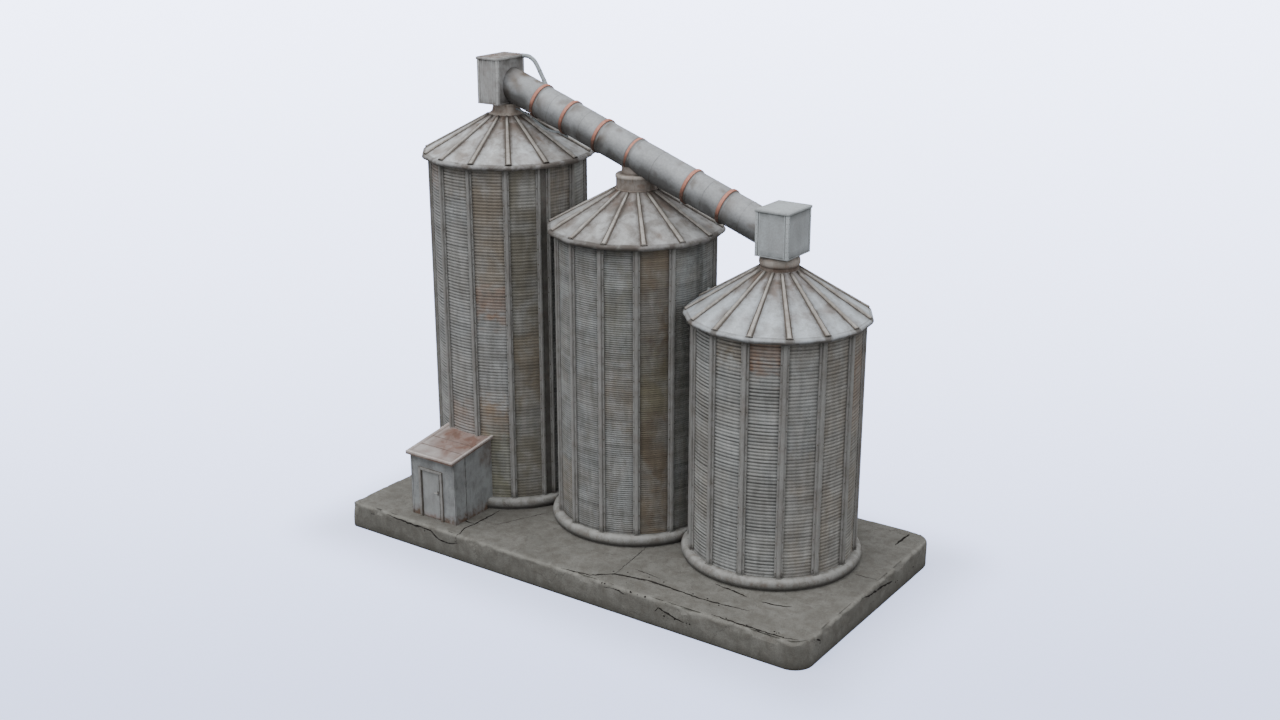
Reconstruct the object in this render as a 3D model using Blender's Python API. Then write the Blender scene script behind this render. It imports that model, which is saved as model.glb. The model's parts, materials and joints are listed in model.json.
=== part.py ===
"""Three steel grain silos on one concrete slab, with a conveyor pipe and a lean-to shed.

Run it with blender --background --python part.py, or from Blender's text editor. Lengths are
metres and +Z is up. +X runs along the slab from the tall silo to the short one, and the shed
stands on the -Y side. The origin is the middle of the slab's underside.
"""
import math
from typing import NamedTuple

import bmesh
import bpy
from mathutils import Vector

GAP = 0.0003                 # between two solids that touch
CUT_DEPTH = 0.03             # how far a piece starts inside the one that it is cut to fit

# Concrete slab
SLAB_LENGTH = 21.6
SLAB_WIDTH = 10.8
SLAB_HEIGHT = 1.1
SLAB_EDGE = 0.14             # rounding along the top edge
SLAB_RADIUS_RIGHT = 0.8      # plan radius of the two corners by the short silo
SLAB_RADIUS_LEFT = 0.16
CORNER_STEPS = 5

# What the silos share
ROW_Y = 0.55                 # the row of silos stands behind the slab's middle line
PLINTH_HEIGHT = 0.45
PLINTH_ROUNDING = 0.2        # how far its half-round edge stands out from its flat top
PLINTH_SIDES = 64
SHELL_THICKNESS = 0.06
SHELL_STEPS = 16             # per quarter of the shell
POST_HEIGHT = 0.135          # how far a post stands out from the shell
POST_FACE_SHARE = 0.78       # width of a post's face over the width of its root
TWIN_TURN = 4.0              # degrees from the place of a twin post to each of its two halves
TWIN_SHARE = 0.75            # width of each half over the width of a single post
RIM_RADIUS = 0.1             # half the height of the rolled eave
RIM_STEPS = 5
RIB_HEIGHT = 0.06
RIB_WIDTH = 0.19
RIB_FACE_SHARE = 0.75
RIB_LARGEST_SHARE = 0.3      # of the space between ribs, near the top of the roof
SHEET_THICKNESS = 0.08
SEAT_WIDTH = 0.1             # how far the eave's underside reaches inside the shell
HATCH_RADIUS = 0.35          # filling hole under each spout
NOTCH_CLEARANCE = 0.02       # from a low roof to the taller silo beside it
NOTCH_SIDES = 96


class Silo(NamedTuple):
    """One silo: where it stands, how tall it is, and how its posts and ribs are set out."""

    name: str
    x: float
    shell_radius: float
    plinth_radius: float
    eave_z: float            # underside of the rolled eave
    eave_radius: float       # out to the corners of the eave
    top_z: float             # flat top of the roof
    top_radius: float
    ribs: int
    rib_phase: float         # degrees
    posts: int               # places for posts, evenly spaced
    post_phase: float        # degrees
    post_width: float
    seam_turn: float         # degrees that the shell's four seams are turned by, clear of the posts
    twin_places: tuple       # places with two narrow posts in place of one
    empty_places: tuple      # places with none, where the next silo stands too close


TALL = Silo("tall", -6.67, 3.1, 3.44, 15.38, 3.5, 17.04, 0.7, 14, 1.2, 13, -25.0, 0.26, 2.8, (0,), ())
MIDDLE = Silo("middle", -0.34, 3.09, 3.44, 13.14, 3.5, 14.76, 0.8, 14, 1.2, 14, -3.5, 0.28, -3.0, (), (0, 7))
SHORT = Silo("short", 6.08, 3.18, 3.53, 10.73, 3.55, 12.6, 0.75, 15, 18.4, 14, -4.0, 0.32, -3.0, (), (7,))
SILOS = (TALL, MIDDLE, SHORT)
WALL_SIDES = (("front", -90.0), ("right", 0.0), ("back", 90.0), ("left", 180.0))

# Conveyor pipe: its axis runs down from over the tall silo to over the short one
PIPE_RADIUS = 0.66
PIPE_SIDES = 48
PIPE_TOP_Z = 18.352          # axis height over the tall silo's axis
PIPE_LOW_Z = 13.763          # axis height over the short silo's axis
PIPE_SLOPE = math.atan2(PIPE_TOP_Z - PIPE_LOW_Z, SHORT.x - TALL.x)
BAND_WIDTH = 0.24
BAND_HEIGHT = 0.055
BAND_LOW_HEIGHT = 0.02       # the band over the middle silo is nearly flush
BAND_BEVEL = 0.012
BAND_DISTANCES = (1.96, 3.47, 5.13, 6.72, 9.48, 11.14)   # along the axis from the tall silo's axis
LOW_BAND = 3                 # its place in the tuple above

# Head boxes and the turned pieces under them
BOX_LID = 0.12
BOX_LID_OVERHANG = 0.04
TALL_BOX_SIZE = Vector((1.03, 1.66, 1.866))     # with the lid
TALL_BOX_LOW = Vector((-7.31, -0.416, 17.51))
SHORT_BOX_SIZE = Vector((1.352, 1.672, 1.768))
SHORT_BOX_LOW = Vector((5.48, -0.24, 13.13))
TURNED_SIDES = 48
NECK_RADIUS = 0.56
NECK_FLARE = 0.66
NECK_FLARE_HEIGHT = 0.17
COLLAR_RADIUS = 0.776
COLLAR_HEIGHT = 0.6
COLLAR_EDGE = 0.07
SPOUT_RADIUS = 0.544
SPOUT_HEIGHT = 1.4
SHORT_COLLAR_RADIUS = 0.73
SHORT_COLLAR_FOOT = 0.695

# Small pipes
VENT_RADIUS = 0.08
VENT_SIDES = 16
VENT_POINTS = ((-5.93, 1.14, 19.316), (-5.55, 1.06, 19.16), (-4.85, 0.9, 18.2))
CONDUIT_SIDES = 12
CLAMPED_RADIUS = 0.04
DROP_RADIUS = 0.045
DROP_START_Z = 17.27
DROP_LEVEL = 0.12            # it leaves the neck level for this far
DROP_POINTS = ((-5.6, 17.13), (-5.28, 16.98), (-4.97, 16.81), (-4.65, 16.63), (-4.3, 16.555))
CONDUIT_SPREAD = 0.06        # from each of the two pipes to the row's middle line

# Small hood on the middle silo's wall, over the short silo's roof
HOOD_ANGLE = 8.8
HOOD_WIDTH = 0.24
HOOD_DEPTH = 0.07
HOOD_LOW_Z = 10.9
HOOD_STRAIGHT = 0.14         # height of its straight sides under the round top

# Lean-to shed
SHED_LEFT = -7.93
SHED_RIGHT = -5.6
SHED_FRONT = -4.69
SHED_BACK = -2.2             # before its pieces are cut to fit the round wall
SHED_WALL = 0.08
ROOF_FRONT = -4.92
ROOF_LEFT = -7.98
ROOF_RIGHT = -5.5
ROOF_THICKNESS = 0.153
ROOF_FRONT_UNDER_Z = 3.787
ROOF_SLOPE = 0.14            # rise over run
LEAF_WIDTH = 0.987
LEAF_HEIGHT = 2.03
LEAF_THICKNESS = 0.055
LEAF_OUTER = -4.665          # y of the leaf's outer face
LEAF_LIFT = 0.01             # over the slab
DOORWAY_LEFT = -7.36
DOORWAY_WIDTH = 1.0
DOORWAY_HEIGHT = 2.046
DOOR_CLEARANCE = 0.005       # between the leaf and the jamb at its hinges
FRAME_WIDTH = 0.135
FRAME_PROUD = 0.045
KNUCKLE_RADIUS = 0.0125
KNUCKLE_LENGTH = 0.06
HINGE_PLATE = (0.05, 0.008)
HINGE_HEIGHTS = (0.25, 1.05, 1.8)
AXIS_X = -7.3575
AXIS_Y = -4.595
HINGE_ARM = 0.011            # thickness of the strap from a knuckle to its plate
HANDLE_X = -6.52
HANDLE_HEIGHT = 1.19
HANDLE_PLATE = (0.05, 0.012, 0.2)
LEVER_LENGTH = 0.17
LEVER_REACH = 0.055
LEVER_BAR = 0.022

CONCRETE = ((0.25, 0.24, 0.23), 0.9, 0.0)
PLINTH_GREY = ((0.45, 0.45, 0.44), 0.85, 0.0)
WALL_STEEL = ((0.42, 0.43, 0.43), 0.5, 0.8)
ROOF_STEEL = ((0.55, 0.57, 0.59), 0.45, 0.8)
PIPE_STEEL = ((0.5, 0.51, 0.52), 0.5, 0.7)
BAND_COPPER = ((0.62, 0.38, 0.31), 0.6, 0.4)
BOX_STEEL = ((0.5, 0.53, 0.55), 0.5, 0.6)
SHED_GREY = ((0.55, 0.58, 0.62), 0.7, 0.0)
SHED_RUST = ((0.42, 0.33, 0.29), 0.8, 0.1)
DOOR_GREY = ((0.42, 0.42, 0.42), 0.65, 0.1)
HANDLE_STEEL = ((0.6, 0.6, 0.6), 0.4, 1.0)


def remove_everything():
    """Takes away the objects that the scene starts with."""
    for thing in list(bpy.data.objects):
        bpy.data.objects.remove(thing, do_unlink=True)


def material_for(name, finish):
    """Returns a new Principled material with a colour, a roughness and a metallic value."""
    colour, roughness, metallic = finish
    material = bpy.data.materials.new(name)
    material.use_nodes = True
    shader = material.node_tree.nodes["Principled BSDF"]
    shader.inputs["Base Color"].default_value = (*colour, 1.0)
    shader.inputs["Roughness"].default_value = roughness
    shader.inputs["Metallic"].default_value = metallic
    return material


def add_object(name, shape, finish=None, smooth=False):
    """Puts a bmesh into the scene as an object, with its own material when it has a finish."""
    bmesh.ops.recalc_face_normals(shape, faces=shape.faces)
    mesh = bpy.data.meshes.new(name)
    shape.to_mesh(mesh)
    shape.free()
    if smooth:
        mesh.shade_smooth()
        mesh.set_sharp_from_angle(angle=math.radians(35))
    if finish:
        mesh.materials.append(material_for(name, finish))
    thing = bpy.data.objects.new(name, mesh)
    bpy.context.scene.collection.objects.link(thing)
    return thing


def as_guide(thing):
    """Marks an object as a cutter or a joining shape, which isn't a piece of the plant."""
    thing.hide_render = True
    thing.display_type = "WIRE"
    return thing


def combine(target, guides, operation):
    """Adds one live Boolean to the target for each guide."""
    for guide in guides:
        modifier = target.modifiers.new(operation.title(), "BOOLEAN")
        modifier.operation = operation
        modifier.solver = "EXACT"
        modifier.object = guide


def box_shape(low, high):
    """Returns a box between two corners."""
    return prism_shape(((low[0], low[1]), (high[0], low[1]), (high[0], high[1]), (low[0], high[1])),
                       low[2], high[2])


def prism_shape(outline, low_z, high_z):
    """Returns an upright prism over a plan outline. A height may be a function of y."""
    def height(level, y):
        return level(y) if callable(level) else level
    rings = [[(x, y, height(level, y)) for x, y in outline] for level in (low_z, high_z)]
    return loft_shape(rings)


def loft_shape(rings):
    """Joins rings of points that have the same count, and closes both ends."""
    shape = bmesh.new()
    loops = [[shape.verts.new(point) for point in ring] for ring in rings]
    for below, above in zip(loops, loops[1:]):
        add_strip(shape, below, above)
    shape.faces.new(loops[0][::-1])
    shape.faces.new(loops[-1])
    return shape


def add_strip(shape, first, second):
    """Adds the faces between two closed loops of vertices."""
    count = len(first)
    for index in range(count):
        after = (index + 1) % count
        shape.faces.new((first[index], first[after], second[after], second[index]))


def ring_shape(rings):
    """Joins rings of points and goes back to the first ring, so the body has a hole."""
    shape = bmesh.new()
    loops = [[shape.verts.new(point) for point in ring] for ring in rings]
    for below, above in zip(loops, loops[1:] + loops[:1]):
        add_strip(shape, below, above)
    return shape


def circle(centre_x, centre_y, z, radius, sides):
    """Returns the points of an upright turned piece's ring, with the first one towards +X."""
    turns = [2 * math.pi * index / sides for index in range(sides)]
    return [(centre_x + radius * math.cos(turn), centre_y + radius * math.sin(turn), z) for turn in turns]


def turned_shape(silo, profile):
    """Returns a solid turned about a silo's axis from (radius, z) points, base first."""
    return loft_shape([circle(silo.x, ROW_Y, z, radius, TURNED_SIDES) for radius, z in profile])


def arc_points(centre, radius, first, last, steps):
    """Returns points on an arc in a profile's own plane. Angles are in degrees."""
    turns = [math.radians(first + (last - first) * step / steps) for step in range(steps + 1)]
    return [(centre[0] + radius * math.cos(turn), centre[1] + radius * math.sin(turn)) for turn in turns]


def slab_outline(inset):
    """Returns the slab's plan outline, moved inwards by the inset."""
    outline = []
    for side_x, side_y, first in ((1, -1, -90), (1, 1, 0), (-1, 1, 90), (-1, -1, 180)):
        radius = SLAB_RADIUS_RIGHT if side_x > 0 else SLAB_RADIUS_LEFT
        centre = (side_x * (SLAB_LENGTH / 2 - radius), side_y * (SLAB_WIDTH / 2 - radius))
        outline += arc_points(centre, radius - inset, first, first + 90, CORNER_STEPS)
    return outline


def build_slab():
    """Builds the slab, with a rounded top edge."""
    low = SLAB_HEIGHT - SLAB_EDGE
    levels = [(0.0, 0.0)]
    for step in range(4):
        turn = math.radians(30 * step)
        levels.append((SLAB_EDGE * (1 - math.cos(turn)), low + SLAB_EDGE * math.sin(turn)))
    rings = [[(x, y, z) for x, y in slab_outline(inset)] for inset, z in levels]
    add_object("base_slab", loft_shape(rings), CONCRETE)


def meeting_distance(silo, other):
    """Returns how far from a silo's axis its plinth meets the plinth of its neighbour."""
    spacing = abs(other.x - silo.x)
    return (spacing ** 2 + silo.plinth_radius ** 2 - other.plinth_radius ** 2) / (2 * spacing) - GAP / 2


def plinth_reach(silo, turn):
    """Returns the plinth's radius at an angle, cut flat where it meets another plinth."""
    reach = silo.plinth_radius
    for other in SILOS:
        along = math.cos(turn) * math.copysign(1, other.x - silo.x)
        is_neighbour = other is not silo and abs(other.x - silo.x) < 2 * SHORT.plinth_radius
        if is_neighbour and along > 0:
            reach = min(reach, meeting_distance(silo, other) / along)
    return reach


def build_plinth(silo):
    """Builds the round concrete base, with a half-round edge."""
    low = SLAB_HEIGHT + GAP
    half = PLINTH_HEIGHT / 2
    foot, *edge = arc_points((0, 0), 1.0, -60, 90, 5)
    profile = [(foot[0], -1.0), *edge]
    rings = []
    for out, up in profile:
        radius = silo.plinth_radius + PLINTH_ROUNDING * (out - 1)
        z = low + half * (1 + up)
        ring = []
        for index in range(PLINTH_SIDES):
            turn = 2 * math.pi * index / PLINTH_SIDES
            reach = min(radius, plinth_reach(silo, turn))
            ring.append((silo.x + reach * math.cos(turn), ROW_Y + reach * math.sin(turn), z))
        rings.append(ring)
    add_object(silo.name + "_plinth", loft_shape(rings), PLINTH_GREY)


def posts_of(silo):
    """Returns the angle in degrees and the width of each of a silo's posts."""
    posts = []
    for place in range(silo.posts):
        angle = silo.post_phase + place * 360 / silo.posts
        if place in silo.twin_places:
            posts += [(angle + turn, silo.post_width * TWIN_SHARE) for turn in (-TWIN_TURN, TWIN_TURN)]
        elif place not in silo.empty_places:
            posts.append((angle, silo.post_width))
    return posts


def outside_of_wall(silo, middle, clearance=0.0):
    """Returns (degrees, radius) points along the outside of one quarter of a shell, with its posts."""
    slit = math.degrees(GAP / silo.shell_radius)
    radius = silo.shell_radius + clearance
    first, last = middle - 45 + slit, middle + 45 - slit
    posts = []
    for angle, width in posts_of(silo):
        turned = middle + (angle - middle + 180) % 360 - 180
        if first < turned < last:
            posts.append((turned, math.degrees((width / 2 + clearance) / silo.shell_radius)))
    steps = [first + (last - first) * step / SHELL_STEPS for step in range(SHELL_STEPS + 1)]
    points = [(angle, radius) for angle in steps if all(abs(angle - post) > half for post, half in posts)]
    face = radius + POST_HEIGHT
    for post, half in posts:
        points += [(post - half, radius), (post - half * POST_FACE_SHARE, face),
                   (post + half * POST_FACE_SHARE, face), (post + half, radius)]
    return sorted(points)


def plan_points(silo, points):
    """Returns plan points about a silo's axis from (degrees, radius) points."""
    turns = [(math.radians(angle), radius) for angle, radius in points]
    return [(silo.x + radius * math.cos(turn), ROW_Y + radius * math.sin(turn)) for turn, radius in turns]


def build_walls(silo):
    """Builds the four quarters of a shell, which stand on the plinth and carry the roof."""
    low = SLAB_HEIGHT + PLINTH_HEIGHT + 2 * GAP
    for side, middle in WALL_SIDES:
        outside = outside_of_wall(silo, middle + silo.seam_turn)
        first, last = outside[0][0], outside[-1][0]
        inside = []
        for step in range(SHELL_STEPS + 1):
            inside.append((last + (first - last) * step / SHELL_STEPS, silo.shell_radius - SHELL_THICKNESS))
        shape = prism_shape(plan_points(silo, outside + inside), low, silo.eave_z - GAP)
        add_object(f"{silo.name}_wall_{side}", shape, WALL_STEEL)


def wall_cutter(name, silo, side, low_z, high_z):
    """Returns the guide that cuts a piece to fit the outside of one quarter of a shell."""
    outside = outside_of_wall(silo, dict(WALL_SIDES)[side] + silo.seam_turn, GAP)
    outline = plan_points(silo, outside) + [(silo.x, ROW_Y)]
    return as_guide(add_object(name, prism_shape(outline, low_z, high_z)))


def roof_profile(silo):
    """Returns (radius, z, rib height) rows from the roof's top out over the eave and back under."""
    rim = (silo.eave_radius - RIM_RADIUS, silo.eave_z + RIM_RADIUS)
    slope = (silo.top_z - rim[1] - RIM_RADIUS) / (rim[0] - silo.top_radius)
    seat = silo.shell_radius - SHELL_THICKNESS - SEAT_WIDTH

    def surface(radius):
        return silo.top_z - slope * (radius - silo.top_radius)

    rib_start, rib_end, rib_foot = silo.top_radius + 0.06, rim[0] - 0.12, rim[0] - 0.05
    rows = [(silo.top_radius, silo.top_z, 0.0), (rib_start, surface(rib_start), RIB_HEIGHT),
            (rib_end, surface(rib_end), RIB_HEIGHT), (rib_foot, surface(rib_foot), 0.0)]
    rows += [(radius, z, 0.0) for radius, z in arc_points(rim, RIM_RADIUS, 75, -90, RIM_STEPS)]
    rows += [(seat, silo.eave_z, 0.0), (seat, surface(seat) - SHEET_THICKNESS, 0.0),
             (silo.top_radius, silo.top_z - SHEET_THICKNESS, 0.0),
             (HATCH_RADIUS, silo.top_z - SHEET_THICKNESS, 0.0), (HATCH_RADIUS, silo.top_z, 0.0)]
    return rows


def roof_ring(silo, radius, z, lift):
    """Returns one ring of the roof: four points across each rib, with flat panels between."""
    half = min(RIB_WIDTH / 2, RIB_LARGEST_SHARE * 2 * math.pi * radius / silo.ribs)
    across = ((-half, 0.0), (-half * RIB_FACE_SHARE, lift), (half * RIB_FACE_SHARE, lift), (half, 0.0))
    ring = []
    for index in range(silo.ribs):
        turn = math.radians(silo.rib_phase + index * 360 / silo.ribs)
        for side, rise in across:
            x = silo.x + radius * math.cos(turn) - side * math.sin(turn)
            y = ROW_Y + radius * math.sin(turn) + side * math.cos(turn)
            ring.append((x, y, z + rise))
    return ring


def build_roof(silo, taller=None):
    """Builds a ribbed roof with a rolled eave, notched where a taller silo stands in its way."""
    shape = ring_shape([roof_ring(silo, *row) for row in roof_profile(silo)])
    roof = add_object(silo.name + "_roof", shape, ROOF_STEEL)
    if taller:
        radius = taller.shell_radius + POST_HEIGHT + NOTCH_CLEARANCE
        rings = [circle(taller.x, ROW_Y, z, radius, NOTCH_SIDES) for z in (silo.eave_z - 1, silo.top_z)]
        cutter = as_guide(add_object(silo.name + "_roof_notch", loft_shape(rings)))
        combine(roof, [cutter], "DIFFERENCE")


def pipe_z(x):
    """Returns the height of the conveyor pipe's axis."""
    return PIPE_TOP_Z - math.tan(PIPE_SLOPE) * (x - TALL.x)


def pipe_point(distance, sideways=0.0, below=0.0):
    """Returns a point by its distance down the pipe, to the back of its axis, and under it."""
    run, fall = math.cos(PIPE_SLOPE), math.sin(PIPE_SLOPE)
    x = TALL.x + distance * run - below * fall
    z = PIPE_TOP_Z - distance * fall - below * run
    return Vector((x, ROW_Y + sideways, z))


def pipe_shape(radius, first_x, last_x):
    """Returns a sloping round bar whose two ends are upright."""
    rings = []
    for x in (first_x, last_x):
        ring = []
        for index in range(PIPE_SIDES):
            turn = 2 * math.pi * index / PIPE_SIDES
            rise = radius * math.sin(turn) / math.cos(PIPE_SLOPE)
            ring.append((x, ROW_Y + radius * math.cos(turn), pipe_z(x) + rise))
        rings.append(ring)
    return loft_shape(rings)


def build_pipe():
    """Builds the conveyor pipe and returns the cutter that fits other pieces to it."""
    first = TALL_BOX_LOW.x + TALL_BOX_SIZE.x
    last = SHORT_BOX_LOW.x
    add_object("conveyor_pipe", pipe_shape(PIPE_RADIUS, first + GAP, last - GAP), PIPE_STEEL, smooth=True)
    return as_guide(add_object("pipe_cutter", pipe_shape(PIPE_RADIUS + GAP, first, last)))


def band_shape(height, clearance=0.0):
    """Returns a band about the X axis, chamfered on its outer edges."""
    inner, outer = PIPE_RADIUS + GAP, PIPE_RADIUS + height + clearance
    half, bevel = BAND_WIDTH / 2 + clearance, min(BAND_BEVEL, height / 2)
    profile = ((-half, inner), (-half, outer - bevel), (-half + bevel, outer),
               (half - bevel, outer), (half, outer - bevel), (half, inner))
    rings = []
    for x, radius in profile:
        rings.append([(x, radius * y, radius * z) for y, z, _ in circle(0, 0, 0, 1, PIPE_SIDES)])
    return ring_shape(rings)


def place_on_pipe(thing, distance):
    """Turns a piece made about the X axis to the pipe's slope, and moves it to its place."""
    thing.location = pipe_point(distance)
    thing.rotation_euler = (0, PIPE_SLOPE, 0)
    return thing


def build_bands():
    """Builds the bands around the pipe and returns the cutter for the nearly flush one."""
    for index, distance in enumerate(BAND_DISTANCES):
        height = BAND_LOW_HEIGHT if index == LOW_BAND else BAND_HEIGHT
        band = add_object(f"pipe_band_{index + 1}", band_shape(height), BAND_COPPER, smooth=True)
        place_on_pipe(band, distance)
    cutter = add_object("band_cutter", band_shape(BAND_LOW_HEIGHT, GAP))
    return as_guide(place_on_pipe(cutter, BAND_DISTANCES[LOW_BAND]))


def build_spouts(pipe_cutter, band_cutter):
    """Builds the turned pieces between the roofs and the conveyor."""
    low = TALL.top_z + GAP
    profile = [(NECK_FLARE, low), (NECK_RADIUS, low + NECK_FLARE_HEIGHT),
               (NECK_RADIUS, TALL_BOX_LOW.z - GAP)]
    neck = add_object("tall_neck", turned_shape(TALL, profile), WALL_STEEL, smooth=True)
    combine(neck, [pipe_cutter], "DIFFERENCE")

    low = MIDDLE.top_z + GAP
    edge = (COLLAR_RADIUS - COLLAR_EDGE, low + COLLAR_HEIGHT - COLLAR_EDGE)
    profile = [(COLLAR_RADIUS, low)] + arc_points(edge, COLLAR_EDGE, 0, 90, 3)
    profile += [(SPOUT_RADIUS, low + COLLAR_HEIGHT), (SPOUT_RADIUS, low + SPOUT_HEIGHT)]
    spout = add_object("middle_spout", turned_shape(MIDDLE, profile), WALL_STEEL, smooth=True)
    trim = [(SPOUT_RADIUS * 2, pipe_z(MIDDLE.x)), (SPOUT_RADIUS * 2, low + 2 * SPOUT_HEIGHT)]
    above = as_guide(add_object("spout_trim", turned_shape(MIDDLE, trim)))
    combine(spout, [above, pipe_cutter, band_cutter], "DIFFERENCE")

    low, high = SHORT.top_z + GAP, SHORT_BOX_LOW.z - GAP
    edge = (SHORT_COLLAR_RADIUS - COLLAR_EDGE, high - COLLAR_EDGE)
    profile = [(SHORT_COLLAR_FOOT, low), (SHORT_COLLAR_RADIUS, low + 2 * COLLAR_EDGE)]
    profile += arc_points(edge, COLLAR_EDGE, 0, 90, 3)
    add_object("short_collar", turned_shape(SHORT, profile), WALL_STEEL, smooth=True)


def build_head_box(name, low, size):
    """Builds one head box and the lid that stands out a little all around it."""
    seam = low.z + size.z - BOX_LID
    high = low + size
    over = Vector((BOX_LID_OVERHANG, BOX_LID_OVERHANG, 0))
    add_object(name + "_head_box", box_shape(low, (high.x, high.y, seam - GAP)), BOX_STEEL)
    lid_low = Vector((low.x, low.y, seam)) - over
    add_object(name + "_head_lid", box_shape(lid_low, high + over), BOX_STEEL)


def rounded_path(points, share=0.35, steps=4):
    """Returns the points with each corner turned into a short smooth bend."""
    path = [Vector(points[0])]
    for before, corner, after in zip(points, points[1:], points[2:]):
        corner = Vector(corner)
        enter = corner.lerp(Vector(before), share)
        leave = corner.lerp(Vector(after), share)
        for step in range(steps + 1):
            part = step / steps
            path.append(enter.lerp(corner, part).lerp(corner.lerp(leave, part), part))
    path.append(Vector(points[-1]))
    return path


def tube_shape(path, radius, sides):
    """Returns a round bar along a path, with its ends square to the path."""
    rings = []
    upright = Vector((0, 1, 0))
    for index, point in enumerate(path):
        heading = path[min(index + 1, len(path) - 1)] - path[max(index - 1, 0)]
        across = heading.cross(upright).normalized()
        other = across.cross(heading.normalized())
        rings.append([point + radius * (across * x + other * y) for x, y, _ in circle(0, 0, 0, 1, sides)])
    return loft_shape(rings)


def build_small_pipes(pipe_cutter):
    """Builds the bent vent pipe and the two thin pipes under the conveyor."""
    lid_edge = TALL_BOX_LOW.x + TALL_BOX_SIZE.x + BOX_LID_OVERHANG + GAP
    start = (lid_edge, VENT_POINTS[0][1], VENT_POINTS[0][2])
    shape = tube_shape(rounded_path([start, *VENT_POINTS]), VENT_RADIUS, VENT_SIDES)
    vent = add_object("vent_pipe", shape, PIPE_STEEL, smooth=True)
    combine(vent, [pipe_cutter], "DIFFERENCE")

    half = BAND_WIDTH / 2 + GAP
    below = PIPE_RADIUS + CLAMPED_RADIUS + GAP
    ends = [pipe_point(BAND_DISTANCES[0] + half, CONDUIT_SPREAD, below),
            pipe_point(BAND_DISTANCES[1] - half, CONDUIT_SPREAD, below)]
    shape = tube_shape(ends, CLAMPED_RADIUS, CONDUIT_SIDES)
    add_object("clamped_conduit", shape, PIPE_STEEL, smooth=True)

    below = PIPE_RADIUS + BAND_HEIGHT + DROP_RADIUS + GAP
    aside = -CONDUIT_SPREAD
    band = BAND_DISTANCES[1]
    depth = math.sqrt(below ** 2 - aside ** 2)
    end = [pipe_point(band - 0.3, aside, depth), pipe_point(band + BAND_WIDTH / 2, aside, depth)]
    start_x = TALL.x + NECK_RADIUS
    level = [(start_x - CUT_DEPTH, DROP_START_Z), (start_x + DROP_LEVEL, DROP_START_Z)]
    route = [(x, ROW_Y + aside, z) for x, z in (*level, *DROP_POINTS)] + end
    shape = tube_shape(rounded_path(route, share=0.3), DROP_RADIUS, CONDUIT_SIDES)
    conduit = add_object("drop_conduit", shape, PIPE_STEEL, smooth=True)
    levels = (DROP_START_Z - 2 * DROP_RADIUS, DROP_START_Z + 2 * DROP_RADIUS)
    neck = turned_shape(TALL, [(NECK_RADIUS + GAP, z) for z in levels])
    combine(conduit, [as_guide(add_object("neck_cutter", neck))], "DIFFERENCE")


def build_hood():
    """Builds the small round-topped hood on the middle silo's wall."""
    half = HOOD_WIDTH / 2
    outline = [(half, HOOD_LOW_Z)]
    outline += arc_points((0, HOOD_LOW_Z + HOOD_STRAIGHT), half, 0, 180, 8) + [(-half, HOOD_LOW_Z)]
    turn = math.radians(HOOD_ANGLE)
    face = MIDDLE.shell_radius + HOOD_DEPTH
    rings = []
    for radius in (MIDDLE.shell_radius - CUT_DEPTH, face):
        ring = []
        for side, z in outline:
            x = MIDDLE.x + radius * math.cos(turn) - side * math.sin(turn)
            y = ROW_Y + radius * math.sin(turn) + side * math.cos(turn)
            ring.append((x, y, z))
        rings.append(ring)
    hood = add_object("wall_hood", loft_shape(rings), BOX_STEEL)
    wall = wall_cutter("hood_cutter", MIDDLE, "right", HOOD_LOW_Z - HOOD_WIDTH, HOOD_LOW_Z + 3 * HOOD_WIDTH)
    combine(hood, [wall], "DIFFERENCE")


def roof_under(y):
    """Returns the height of the shed roof's underside."""
    return ROOF_FRONT_UNDER_Z + ROOF_SLOPE * (y - ROOF_FRONT)


def wall_top(y):
    """Returns the height of the shed walls' tops, just under the roof."""
    return roof_under(y) - GAP


def shed_wall(name, left, right, front, back, low_z, high_z=wall_top):
    """Builds one upright piece of the shed between plan limits."""
    outline = ((left, front), (right, front), (right, back), (left, back))
    return add_object(name, prism_shape(outline, low_z, high_z), SHED_GREY)


def build_shed():
    """Builds the shed's walls and roof, whose back edges are cut to fit the tall silo."""
    floor = SLAB_HEIGHT + GAP
    inner_left, inner_right = SHED_LEFT + SHED_WALL, SHED_RIGHT - SHED_WALL
    inner_front = SHED_FRONT + SHED_WALL
    frame_left = DOORWAY_LEFT - FRAME_WIDTH
    frame_right = DOORWAY_LEFT + DOORWAY_WIDTH + FRAME_WIDTH
    head_top = SLAB_HEIGHT + DOORWAY_HEIGHT + FRAME_WIDTH
    plinth_top = SLAB_HEIGHT + PLINTH_HEIGHT + 2 * GAP

    silo = wall_cutter("shed_cutter", TALL, "front", SLAB_HEIGHT, roof_under(0) + ROOF_THICKNESS)
    rings = [circle(TALL.x, ROW_Y, z, TALL.plinth_radius + GAP, PLINTH_SIDES) for z in (0.0, plinth_top)]
    plinth = as_guide(add_object("plinth_cutter", loft_shape(rings)))
    for name, left, right in (("left", SHED_LEFT, inner_left), ("right", inner_right, SHED_RIGHT)):
        wall = shed_wall("shed_wall_" + name, left, right, SHED_FRONT, SHED_BACK, floor)
        combine(wall, [plinth, silo], "DIFFERENCE")
    shed_wall("shed_wall_front_left", inner_left + GAP, frame_left - GAP, SHED_FRONT, inner_front, floor)
    shed_wall("shed_wall_front_right", frame_right + GAP, inner_right - GAP, SHED_FRONT, inner_front, floor)
    shed_wall("shed_lintel", frame_left, frame_right, SHED_FRONT, inner_front, head_top + GAP)

    outline = ((ROOF_LEFT, ROOF_FRONT), (ROOF_RIGHT, ROOF_FRONT), (ROOF_RIGHT, SHED_BACK), (ROOF_LEFT, SHED_BACK))
    shape = prism_shape(outline, roof_under, lambda y: roof_under(y) + ROOF_THICKNESS)
    roof = add_object("shed_roof", shape, SHED_RUST)
    combine(roof, [silo], "DIFFERENCE")


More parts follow.
